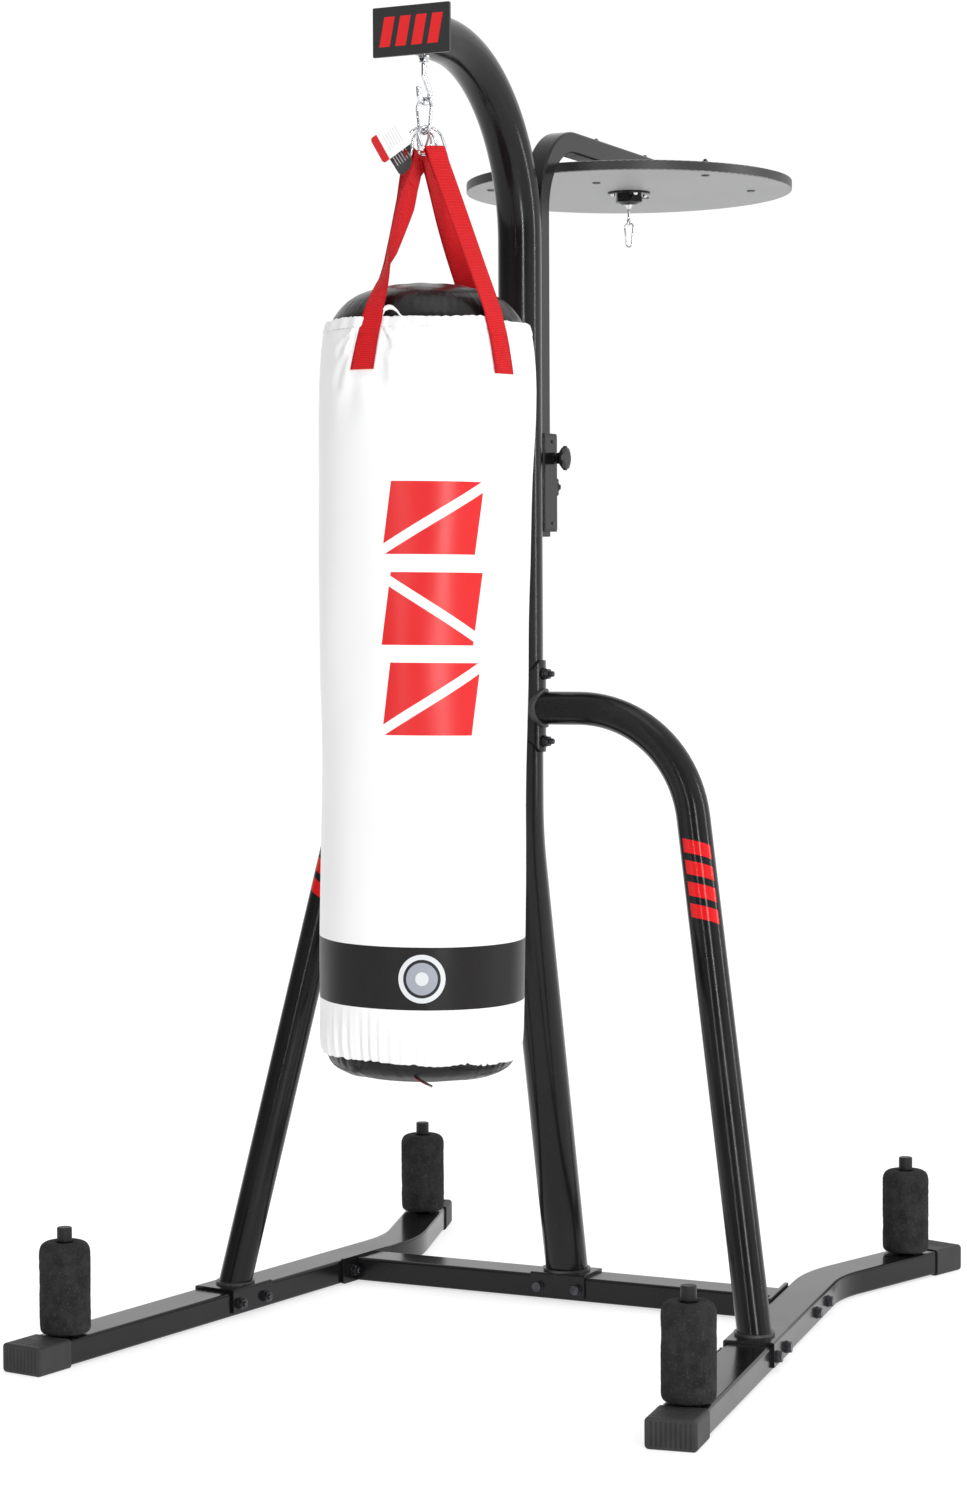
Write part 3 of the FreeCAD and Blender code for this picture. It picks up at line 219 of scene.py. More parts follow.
def white_vinyl():
    """Coated white cloth with a black band, three cut red panels and a plain grey roundel.

    The map's first axis is the distance round the bag from its face, the second is the height."""
    s = Shader("white_vinyl")
    u, v, _ = s.split(s.node("ShaderNodeUVMap", uv_map="wrap").outputs[0])
    weave = s.noise(900.0, 2.0, 0.5)
    grain = s.cells(1300.0)
    soil = s.span(s.noise(6.0, 6.0, 0.65), 0.45, 0.80, 0.0, 1.0)
    cloth = s.mix(s.math("MULTIPLY", soil, 0.10), (0.87, 0.87, 0.875), (0.72, 0.72, 0.74))
    graphic = None
    for k, middle in enumerate(GRAPHIC_MIDDLES):
        lean = s.math("MULTIPLY_ADD", s.math("SUBTRACT", v, middle), -0.13, u)
        rise = s.math("MULTIPLY_ADD", u, GRAPHIC_RISE, s.math("SUBTRACT", v, middle))
        block = s.math("MULTIPLY", s.within(lean, -GRAPHIC_HALF_W, GRAPHIC_HALF_W),
                       s.within(rise, -GRAPHIC_HALF_H, GRAPHIC_HALF_H))
        cut = s.math("MULTIPLY_ADD", u, GRAPHIC_CUTS[k], s.math("SUBTRACT", v, middle))
        block = s.math("MULTIPLY", block, s.math("SUBTRACT", 1.0, s.within(cut, -0.009, 0.009)))
        graphic = block if graphic is None else s.math("MAXIMUM", graphic, block)
    cloth = s.mix(graphic, cloth, RED)
    sag = s.math("MULTIPLY_ADD", s.math("MULTIPLY", u, u), -0.060, v)
    band = s.within(sag, BAND_Z[0], BAND_Z[1])
    band_tone = s.mix(s.noise(260.0, 4.0, 0.7), (0.006, 0.0055, 0.006), (0.017, 0.015, 0.016))
    cloth = s.mix(band, cloth, band_tone)
    down = s.math("SUBTRACT", v, ROUNDEL_Z)
    along = s.math("SUBTRACT", u, ROUNDEL_U)
    reach = s.math("SQRT", s.math("ADD", s.math("MULTIPLY", along, along), s.math("MULTIPLY", down, down)))
    cloth = s.mix(s.less(reach, 0.039), cloth, (0.66, 0.68, 0.70))
    cloth = s.mix(s.less(reach, 0.031), cloth, (0.020, 0.019, 0.020))
    cloth = s.mix(s.less(reach, 0.026), cloth, (0.33, 0.35, 0.40))
    cloth = s.mix(s.less(reach, 0.011), cloth, (0.66, 0.68, 0.70))
    rough = s.math("ADD", s.span(soil, 0.0, 1.0, 0.36, 0.46), s.math("MULTIPLY", graphic, -0.06))
    normal = s.bump(weave, 0.14, 0.0006)
    shine = s.math("MULTIPLY_ADD", band, -0.22, 0.40)
    s.shade(Base_Color=cloth, Roughness=rough, Specular_IOR_Level=shine, Coat_Weight=0.05,
            Coat_Roughness=0.30, Normal=s.bump(grain, 0.10, 0.0003, normal))
    return s.mat


def black_vinyl():
    s = Shader("black_vinyl")
    grain = s.cells(900.0)
    creases = s.noise(55.0, 5.0, 0.6)
    s.shade(Base_Color=s.mix(s.noise(18.0, 4.0), (0.004, 0.0038, 0.004), (0.010, 0.0085, 0.009)),
            Roughness=s.span(creases, 0.3, 0.7, 0.24, 0.34), Specular_IOR_Level=0.22, Coat_Weight=0.08,
            Coat_Roughness=0.18, Normal=s.bump(grain, 0.10, 0.0003, s.bump(creases, 0.14, 0.0010)))
    return s.mat


def webbing():
    """Ribbed nylon: close cross ribs with painted shade in the troughs between them, a fine weave over them
    and slightly darker selvedges.
    """
    s = Shader("red_webbing")
    u, v, _ = s.split(s.node("ShaderNodeUVMap", uv_map="wrap").outputs[0])
    rib = s.math("SINE", s.math("MULTIPLY", v, 2.0 * math.pi / 0.0029))
    yarn = s.math("SINE", s.math("MULTIPLY", u, 2.0 * math.pi / 0.0011))
    rib_high = s.span(rib, -1.0, 1.0, 0.0, 1.0)
    yarn_high = s.span(yarn, -1.0, 1.0, 0.0, 1.0)
    edge = s.span(s.math("ABSOLUTE", u), 0.0162, 0.0182, 0.0, 1.0)
    fuzz = s.noise(850.0, 3.0, 0.7)
    # Painted shade: the rib troughs are coloured dark red and the crests bright red.
    colour = s.mix(rib_high, (0.36, 0.001, 0.004), (0.74, 0.006, 0.012))
    colour = s.mix(s.math("MULTIPLY", fuzz, 0.30), colour, (0.80, 0.020, 0.020))
    colour = s.mix(s.math("MULTIPLY", edge, 0.55), colour, (0.26, 0.001, 0.003))
    height = s.math("MULTIPLY_ADD", yarn_high, 0.25, rib_high)
    s.shade(Base_Color=colour, Roughness=s.span(fuzz, 0.3, 0.7, 0.52, 0.70), Specular_IOR_Level=0.20,
            Normal=s.bump(height, 0.85, 0.0006))
    return s.mat


def thread(name, colour):
    s = Shader(name)
    twist = s.noise(2400.0, 2.0)
    s.shade(Base_Color=s.mix(twist, tuple(0.7 * c for c in colour), colour), Roughness=0.6,
            Normal=s.bump(twist, 0.6, 0.0002))
    return s.mat


def board():
    """Laminated board: speckled grey faces and a dark edge band, told apart by the facing."""
    s = Shader("board")
    _, _, facing = s.split(s.node("ShaderNodeNewGeometry").outputs["True Normal"])
    face = s.math("GREATER_THAN", s.math("ABSOLUTE", facing), 0.5)
    speckle = s.noise(1100.0, 2.0, 0.6)
    cloud = s.noise(4.0, 4.0)
    laminate = s.mix(s.span(cloud, 0.3, 0.7, 0.0, 1.0), (0.235, 0.236, 0.240), (0.270, 0.271, 0.275))
    laminate = s.mix(s.span(speckle, 0.45, 0.65, 0.0, 0.5), laminate, (0.19, 0.19, 0.195))
    s.shade(Base_Color=s.mix(face, (0.020, 0.020, 0.021), laminate),
            Roughness=s.span(speckle, 0.3, 0.7, 0.36, 0.50),
            Normal=s.bump(speckle, 0.12, 0.0003, s.bevel(0.0012)))
    return s.mat


def printed_card(name, ground, stripe, second):
    s = Shader(name)
    u, v, _ = s.split(s.node("ShaderNodeUVMap", uv_map="wrap").outputs[0])
    colour = s.mix(s.within(v, -0.032, -0.0185), ground, stripe)
    lines = s.within(s.math("FLOORED_MODULO", v, 0.005), 0.0, 0.0014)
    lines = s.math("MULTIPLY", lines, s.within(v, -0.012, 0.018))
    lines = s.math("MULTIPLY", lines, s.within(u, -0.017, 0.012))
    colour = s.mix(lines, colour, second)
    fibre = s.noise(900.0, 3.0)
    s.shade(Base_Color=colour, Roughness=s.span(fibre, 0.3, 0.7, 0.30, 0.42),
            Normal=s.bump(fibre, 0.10, 0.0002))
    return s.mat


def sign_material(centre_z):
    """Black satin plate with slanted red bars printed on its front."""
    s = Shader("sign")
    x, y, z = s.split(s.coords())
    down = s.math("SUBTRACT", z, centre_z)
    bars = slanted_bars(s, x, down, 0.0, 4, 0.029, 0.019, 0.024, -0.20)
    _, toward, _ = s.split(s.node("ShaderNodeNewGeometry").outputs["True Normal"])
    bars = s.math("MULTIPLY", bars, s.less(toward, -0.5))
    fine = s.noise(1300.0, 2.0)
    s.shade(Base_Color=s.mix(bars, s.mix(fine, (0.012, 0.012, 0.013), (0.022, 0.022, 0.023)), RED),
            Roughness=s.span(fine, 0.3, 0.7, 0.30, 0.40), Normal=s.bump(fine, 0.10, 0.0002, s.bevel(0.0008)))
    return s.mat


def marked_leg(name, foot, knee, middle, facing_az):
    """The tubes' paint with red slanted bars printed round the leg's front, at `middle` up the leg."""
    s = Shader(name)
    axis = (knee - foot).normalized()
    side = Vector((math.sin(facing_az), -math.cos(facing_az), 0.0))
    side = (side - axis * side.dot(axis)).normalized()
    third = axis.cross(side)
    place = s.coords()

    def along(direction, origin):
        dot = s.node("ShaderNodeVectorMath", operation="DOT_PRODUCT")
        s.put(dot.inputs[0], place)
        dot.inputs[1].default_value = direction
        return s.math("SUBTRACT", dot.outputs["Value"], origin.dot(direction))

    up, front, around = along(axis, foot), along(side, foot), along(third, foot)
    angle = s.math("ARCTAN2", around, front)
    wrap = s.math("MULTIPLY", angle, 0.029)
    bars = slanted_bars(s, up, wrap, middle, 4, 0.037, 0.024, 0.026, 0.35)
    patches = s.noise(7.0, 4.0)
    peel = s.noise(420.0, 2.0)
    colour = s.mix(s.span(patches, 0.3, 0.7, 0.0, 1.0), BLACK_LOW, BLACK_HIGH)
    s.shade(Base_Color=s.mix(bars, colour, RED), Roughness=s.span(patches, 0.3, 0.7, 0.15, 0.23),
            Specular_IOR_Level=0.24, Normal=s.bump(peel, 0.10, 0.0004))
    return s.mat


# ------------------------------------------------------------------ mesh helpers
def place_mesh(name, points, faces, material, wrap=None, smooth=True):
    """A mesh object. `wrap` gives each corner's map position, from a table by vertex."""
    mesh = bpy.data.meshes.new(name)
    mesh.from_pydata([tuple(p) for p in points], [], faces)
    if smooth:
        mesh.polygons.foreach_set("use_smooth", [True] * len(mesh.polygons))
    if wrap is not None:
        layer = mesh.uv_layers.new(name="wrap")
        corner = np.zeros(len(mesh.loops), dtype=np.int32)
        mesh.loops.foreach_get("vertex_index", corner)
        layer.data.foreach_set("uv", np.asarray(wrap, dtype=np.float32)[corner].ravel())
    mesh.materials.append(material)
    mesh.update()
    obj = bpy.data.objects.new(name, mesh)
    bpy.context.scene.collection.objects.link(obj)
    return obj


def grid_faces(rows, columns, closed):
    """Quads of a grid whose rows run round (closed) or across."""
    last = columns if closed else columns - 1
    return [(r * columns + c, r * columns + (c + 1) % columns,
             (r + 1) * columns + (c + 1) % columns, (r + 1) * columns + c)
            for r in range(rows - 1) for c in range(last)]


def waves(rng, theta, z, count, around, down, fade=0.0):
    """A smooth field of about unit size, periodic round the bag; `down` is in cycles a metre."""
    total = np.zeros(np.broadcast(theta, z).shape)
    for _ in range(count):
        n = rng.integers(around[0], around[1] + 1)
        k = rng.uniform(-down, down) * 2.0 * math.pi
        total += np.sin(n * theta + k * z + rng.uniform(0.0, 2.0 * math.pi)) / (1.0 + fade * n)
    return total / math.sqrt(count)


def smooth_step(low, high, value):
    t = np.clip((value - low) / (high - low), 0.0, 1.0)
    return t * t * (3.0 - 2.0 * t)


def towards(azimuth):
    return Vector((math.sin(azimuth), -math.cos(azimuth), 0.0))


def stitch_run(path, length, gap, radius):
    """Small capsules along a path of (point, normal): one per stitch, lying on the surface."""
    points, faces = [], []
    spots = [Vector(p) for p, _ in path]
    normals = [Vector(n) for _, n in path]
    legs = [(b - a).length for a, b in zip(spots, spots[1:])]
    total = sum(legs)

    def at(distance):
        k = 0
        while k < len(legs) - 1 and distance > legs[k]:
            distance -= legs[k]
            k += 1
        t = distance / max(legs[k], 1e-9)
        return spots[k].lerp(spots[k + 1], t), normals[k].lerp(normals[k + 1], t).normalized()

    count = max(1, int(total / (length + gap)))
    for j in range(count):
        start = (j + 0.5) * total / count - length / 2.0
        a, na = at(max(start, 0.0))
        b, _ = at(min(start + length, total))
        run = (b - a).normalized()
        side = run.cross(na).normalized()
        base = len(points)
        for t, size, lift in ((0.0, 0.35, -0.3), (0.2, 1.0, 0.35), (0.8, 1.0, 0.35), (1.0, 0.35, -0.3)):
            centre = a.lerp(b, t) + na * (lift * radius)
            for q in range(6):
                angle = q * math.pi / 3.0
                points.append(centre + (side * math.cos(angle) + na * math.sin(angle)) * radius * size)
        faces += [(base + r * 6 + q, base + r * 6 + (q + 1) % 6,
                   base + (r + 1) * 6 + (q + 1) % 6, base + (r + 1) * 6 + q)
                  for r in range(3) for q in range(6)]
        faces += [tuple(base + q for q in reversed(range(6))), tuple(base + 18 + q for q in range(6))]
    return points, faces


def stitching(name, runs, material, length=0.0030, gap=0.0014, radius=0.00045):
    points, faces = [], []
    for run in runs:
        more, rings = stitch_run(run, length, gap, radius)
        faces += [tuple(i + len(points) for i in ring) for ring in rings]
        points += more
    return place_mesh(name, points, faces, material)


# ------------------------------------------------------------------ the heavy bag
nut_low, nut_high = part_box("hook_nuts")
shell_low, shell_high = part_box("bag_shell")
HOOK = Vector(((nut_low[0] + nut_high[0]) / 2.0, (nut_low[1] + nut_high[1]) / 2.0, 0.0))
LEAN_AZ = math.radians(-64.5)
LEAN_Z = 1.480
SLOPE = math.tan(math.radians(0.75))
HEM_Z, SEAM_Z = shell_high[2] - SLOPE * 0.1665, shell_low[2] + SLOPE * 0.163
CROWN_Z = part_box("bag_top")[1][2]
SOLE_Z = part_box("bag_base")[0][2] + 0.0013
FACE_AZ = math.radians(30.7)
STRAP_AZ = {"front_right_strap": (66.0, 70.5), "rear_right_strap": (175.4, 170.9),
            "front_left_strap": (-4.6, -9.1), "rear_left_strap": (240.0, 250.5)}
STRAP_TURN = {"front_right_strap": 0.0, "rear_right_strap": 0.0,
              "front_left_strap": 10.0, "rear_left_strap": 0.0}
STRAP_LOW = 1.6280
MAP_R = 0.173
GRAPHIC_MIDDLES = (1.3945, 1.2500, 1.1060)
GRAPHIC_CUTS = (-0.62, 0.62, -0.62)
GRAPHIC_HALF_W, GRAPHIC_HALF_H, GRAPHIC_RISE = 0.076, 0.058, 0.0
BAND_Z = (0.6080, 0.7090)
ROUNDEL_U, ROUNDEL_Z = -0.0130, 0.6585
SHELL_PROFILE = np.array([[1.7180, 0.1652], [1.7160, 0.1662], [1.7000, 0.1706], [1.6850, 0.1728],
                          [1.6700, 0.1746],
                          [1.6400, 0.1768], [1.6100, 0.1778], [1.5600, 0.1780], [1.5200, 0.1773],
                          [1.4600, 0.1759], [1.3300, 0.1743], [1.2000, 0.1720], [1.1300, 0.1706],
                          [1.0650, 0.1688], [1.0000, 0.1681], [0.9330, 0.1679], [0.8670, 0.1688],
                          [0.8000, 0.1695], [0.7350, 0.1697], [0.6690, 0.1696], [0.6030, 0.1690],
                          [0.5650, 0.1682], [0.5450, 0.1666], [0.5300, 0.1640], [0.5200, 0.1605],
                          [0.5100, 0.1560], [0.5020, 0.1500]])


def on_axis(theta, r, z):
    """Points round the bag's leaning axis."""
    drift = (LEAN_Z - z) * SLOPE
    x = HOOK.x + math.sin(LEAN_AZ) * drift + r * np.sin(theta)
    y = HOOK.y - math.cos(LEAN_AZ) * drift - r * np.cos(theta)
    return np.stack([x, y, z + SLOPE * r * np.cos(theta - LEAN_AZ)], axis=-1)


def strap_azimuth(name, z):
    """Direction of a strap's middle at height z, in radians."""
    hem, foot = STRAP_AZ[name]
    share = np.clip((HEM_Z - z) / (HEM_Z - STRAP_LOW), 0.0, 1.2)
    return np.radians(hem + (foot - hem) * share)


def round_from(theta, azimuth):
    """Distance round the bag from an azimuth."""
    return np.angle(np.exp(1j * (theta - azimuth))) * MAP_R


def shell_radius(z):
    profile = SHELL_PROFILE[::-1]
    return np.interp(z, profile[:, 0], profile[:, 1])


def hem_edge(theta):
    """Height of the hem's top edge: soft sags with a slightly ragged line."""
    rng = np.random.default_rng(41)
    sag = waves(rng, theta, 0.0, 4, (3, 9), 0.0)
    ragged = waves(rng, theta, 0.0, 8, (30, 90), 0.0)
    lift = sum(np.exp(-(round_from(theta, math.radians(hem)) / 0.022) ** 2) for hem, _ in STRAP_AZ.values())
    return HEM_Z - 0.0022 + 0.0014 * sag + 0.0006 * ragged + 0.0012 * lift


def seam_edge(theta):
    rng = np.random.default_rng(43)
    tilt = 0.0052 * np.cos(theta - LEAN_AZ) + 0.0028 * np.cos(theta - math.radians(26.0))
    return SEAM_Z - 0.0012 + tilt + 0.0016 * waves(rng, theta, 0.0, 5, (4, 14), 0.0) \
        + 0.0009 * waves(rng, theta, 0.0, 8, (30, 80), 0.0)


def crease(theta, z, az, z0, run, drop, width, depth):
    """A fold from a point at azimuth az and height z0, `run` round and `drop` down, in metres."""
    s = round_from(theta, az)
    t = np.clip((s * run - (z - z0) * drop) / (run ** 2 + drop ** 2), 0.0, 1.0)
    away = np.hypot(s - run * t, z - (z0 - drop * t))
    local = width * (0.55 + 0.9 * t)
    shape = -np.exp(-(away / local) ** 2) + 0.55 * np.exp(-((away - 1.7 * local) / local) ** 2)
    return depth * shape * np.sqrt(np.clip(1.15 - t, 0.0, 1.0))


CREASES = []
rng_folds = np.random.default_rng(5)
for strap_name in STRAP_AZ:
    for side in (-1.0, 1.0):
        for j, (run, drop, width, depth) in enumerate(((0.013, 0.030, 0.0035, 0.0034),
                                                       (0.030, 0.030, 0.0045, 0.0030),
                                                       (0.040, 0.060, 0.0075, 0.0022),
                                                       (0.012, 0.100, 0.0110, 0.0017))):
            vary = rng_folds.uniform(0.75, 1.25, 3)
            az = float(strap_azimuth(strap_name, HEM_Z - 0.03)) + side * 0.0215 / MAP_R
            strength = 1.70 if strap_name in ("front_left_strap", "rear_right_strap") else 0.70
            CREASES.append((az, HEM_Z - 0.019 - 0.007 * j, side * run * vary[0], drop * vary[1],
                            width * vary[2], depth * strength))


def shell_offset(theta, z):
    """How far the cloth stands off its smooth profile."""
    rng = np.random.default_rng(7)
    slack = 0.0011 * waves(rng, theta, z, 10, (1, 5), 2.2)
    slack += 0.0007 * waves(rng, theta, z, 14, (3, 12), 5.0)
    near_top = smooth_step(HEM_Z - 0.24, HEM_Z - 0.02, z)
    slack += 0.0020 * near_top * waves(rng, theta, z, 10, (5, 16), 2.0)
    low = 1.0 - smooth_step(SEAM_Z + 0.01, SEAM_Z + 0.115, z)
    uneven = 0.30 + 0.70 * smooth_step(-0.2, 0.9, waves(rng, theta, z, 3, (1, 3), 0.5)
                                       + 0.8 * np.cos(theta - math.radians(5.0)))
    puckers = waves(rng, theta, z, 18, (34, 78), 1.2)
    slack += 0.0028 * low ** 1.6 * uneven * np.sign(puckers) * np.abs(puckers) ** 0.75
    slack += 0.0012 * low * waves(rng, theta, z, 8, (12, 26), 2.0)
    for fold in CREASES:
        slack += crease(theta, z, *fold)
    for name, angle in STRAP_TURN.items():
        s = round_from(theta, strap_azimuth(name, z))
        under = (1.0 - smooth_step(0.0205, 0.0270, np.abs(s))) * smooth_step(STRAP_LOW - 0.012, STRAP_LOW, z)
        tilt = -math.tan(math.radians(angle)) * s * (1.0 - smooth_step(0.022, 0.050, np.abs(s)))
        slack = slack * (1.0 - under) + tilt * smooth_step(STRAP_LOW - 0.05, STRAP_LOW, z)
    groove = np.exp(-((z - (HEM_Z - 0.0185)) / 0.0011) ** 2)
    hem = smooth_step(HEM_Z - 0.0190, HEM_Z - 0.0165, z)
    flutter = waves(rng, theta, z, 8, (18, 46), 0.5)
    return slack - 0.0011 * groove + 0.0007 * hem + 0.0009 * hem * flutter


def bag_shell(material):
    columns = 420
    theta = np.linspace(0.0, 2.0 * math.pi, columns, endpoint=False)
    fine_top = np.linspace(0.0, 0.12, 48, endpoint=False)
    middle = np.linspace(0.12, 0.86, 90, endpoint=False)
    fine_low = np.linspace(0.86, 1.0, 48)
    share = np.concatenate([fine_top, middle, fine_low])
    top, bottom = hem_edge(theta), seam_edge(theta)
    z = top + (bottom - top) * share[:, None]
    radius = shell_radius(z) + shell_offset(np.broadcast_to(theta, z.shape), z)
    rows = []
    for inward, drop in ((0.0044, 0.0150), (0.0042, 0.0050), (0.0030, 0.0004), (0.0014, -0.0010)):
        rows.append((radius[0] - inward, z[0] - drop))
    rows += [(radius[k], z[k]) for k in range(len(share))]
    for inward, rise in ((0.0016, -0.0012), (0.0046, -0.0002), (0.0090, 0.0040), (0.0120, 0.0110)):
        rows.append((radius[-1] - inward, z[-1] + rise))
    r = np.array([row[0] for row in rows])
    h = np.array([row[1] for row in rows])
    points = on_axis(theta, r, h)
    around = np.angle(np.exp(1j * (theta - FACE_AZ))) * MAP_R
    wrap = np.stack([np.broadcast_to(around, h.shape), h], axis=-1)
    seam_column = int(np.argmin(np.abs(np.angle(np.exp(1j * (theta - FACE_AZ - math.pi))))))
    points = np.roll(points, -seam_column, axis=1)
    wrap = np.roll(wrap, -seam_column, axis=1)
    faces = [ring[::-1] for ring in grid_faces(len(rows), columns, True)]
    return place_mesh("bag_shell_cloth", points.reshape(-1, 3), faces, material, wrap.reshape(-1, 2))


def capped_disc(name, profile, offset, material, upward, columns=300):
    """A closed-over cushion of revolution with its surface moved by offset(theta, radius)."""
    theta = np.linspace(0.0, 2.0 * math.pi, columns, endpoint=False)
    r = np.broadcast_to(profile[:, :1], (len(profile), columns)).copy()
    z = np.broadcast_to(profile[:, 1:], (len(profile), columns)).copy()
    dr, dz = offset(np.broadcast_to(theta, r.shape), r)
    r, z = r + dr, z + dz
    points = on_axis(theta, r, z).reshape(-1, 3)
    points = np.vstack([points, on_axis(0.0, 0.0, z[-1].mean())])
    faces = grid_faces(len(profile), columns, True)
    last = (len(profile) - 1) * columns
    faces += [(last + c, last + (c + 1) % columns, len(points) - 1) for c in range(columns)]
    if upward:
        faces = [ring[::-1] for ring in faces]
    return place_mesh(name, points, faces, material)


def smooth_profile(knots, count):
    """Points along a rounded line through (radius, height) knots."""
    knots = np.array(knots)
    chord = np.concatenate([[0.0], np.cumsum(np.hypot(*np.diff(knots, axis=0).T))])
    t = np.linspace(0.0, chord[-1], count)
    line = np.stack([np.interp(t, chord, knots[:, k]) for k in range(2)], axis=-1)
    for _ in range(6):
        line[1:-1] = 0.25 * line[:-2] + 0.5 * line[1:-1] + 0.25 * line[2:]
    return line


def bag_top(material):
    knots = [(0.1530, HEM_Z - 0.022), (0.1580, HEM_Z - 0.006), (0.1568, HEM_Z + 0.002),
             (0.1520, HEM_Z + 0.010),
             (0.1440, HEM_Z + 0.021), (0.1320, HEM_Z + 0.0335), (0.1180, HEM_Z + 0.0430),
             (0.1000, HEM_Z + 0.0505), (0.0650, HEM_Z + 0.0605), (0.0080, CROWN_Z - 0.0015)]
    profile = smooth_profile(knots, 90)
    rng = np.random.default_rng(17)

    def offset(theta, r):
        rim = smooth_step(0.100, 0.158, r)
        gathers = waves(rng, theta, 0.0, 22, (38, 84), 0.0)
        broad = waves(rng, theta, r, 9, (3, 13), 6.0)
        pull = np.abs(gathers) ** 0.8 * np.sign(gathers)
        lift = 0.0018 * rim ** 2.6 * pull + 0.0007 * smooth_step(0.02, 0.10, r) * broad
        return -0.4 * lift * rim, lift * (1.0 - 0.35 * rim)

    return capped_disc("bag_top_vinyl", profile, offset, material, True)


def bag_base(material):
    knots = [(0.1450, SEAM_Z + 0.018), (0.1545, SEAM_Z + 0.008), (0.1560, SEAM_Z), (0.1535, SEAM_Z - 0.010),
             (0.1440, SEAM_Z - 0.021), (0.1240, SEAM_Z - 0.0310), (0.0900, SEAM_Z - 0.0365),
             (0.0450, SOLE_Z + 0.0012), (0.0080, SOLE_Z + 0.0008)]
    profile = smooth_profile(knots, 70)
    rng = np.random.default_rng(23)

    def offset(theta, r):
        rim = smooth_step(0.10, 0.157, r)
        gathers = waves(rng, theta, 0.0, 20, (30, 70), 0.0)
        broad = waves(rng, theta, r, 8, (3, 9), 5.0)
        lift = 0.0018 * rim ** 2 * gathers + 0.0012 * smooth_step(0.03, 0.12, r) * broad
        return 0.5 * lift * rim, np.maximum(lift, -0.0006) * (1.0 - 0.4 * rim)

    return capped_disc("bag_base_vinyl", profile, offset, material, False)


# ------------------------------------------------------------------ straps
HOOK_AZ = math.radians(-20.0)
RING_TOP_Z = 2.0319
RING_SEAT_R = 0.0080
RING_DROP = 0.0440
RING_BAR_R = 0.00225
STRAP_W, STRAP_T = 0.0380, 0.0018
PATCH_LOW = {"front_right_strap": 1.6265, "rear_right_strap": 1.6300,
             "front_left_strap": 1.6300, "rear_left_strap": 1.6275}
RINGS = {"front_right_strap": (0.0072, 30.0, -14.0), "rear_right_strap": (0.0024, 9.0, 4.0),
         "front_left_strap": (-0.0024, -9.0, 4.0), "rear_left_strap": (-0.0072, -30.0, -4.0)}


def cloth_point(azimuth, z, off):
    """A point on the bag's cloth, raised by off."""
    theta, height = np.array([float(azimuth)]), np.array([float(z)])
    return Vector(on_axis(theta, shell_radius(height) + shell_offset(theta, height) + off, height)[0])


def ring_bar(name):
    """Centre of the D-ring's flat bar, the bar's direction and the ring's own axes."""
    shift, lean, turn = RINGS[name]
    clip_dir = towards(HOOK_AZ + math.pi / 2.0)
    rise = RING_SEAT_R - math.sqrt(RING_SEAT_R ** 2 - shift ** 2)
    top = HOOK + clip_dir * shift + UP * (RING_TOP_Z + rise)
    turned = Matrix.Rotation(HOOK_AZ + math.radians(turn), 3, "Z")
    turned = turned @ Matrix.Rotation(math.radians(-lean), 3, "Y")
    return top + turned @ Vector((0.0, 0.0, -RING_DROP)), turned @ Vector((0.0, 1.0, 0.0)), turned


LEVEL = ((0.0, 1.0), (0.0, 0.0))
TWISTS = {"front_left_strap": ((0.0, 0.08, 0.18, 0.30, 0.42, 0.58, 0.68, 0.76, 0.88, 1.0),
                               (0.0, 17.7, 4.8, -20.4, -30.0, -43.0, -35.0, -23.0, -11.0, 0.0)),
          "rear_left_strap": ((0.0, 0.25, 0.60, 0.85, 1.0), (0.0, 30.0, 44.0, 22.0, 0.0))}


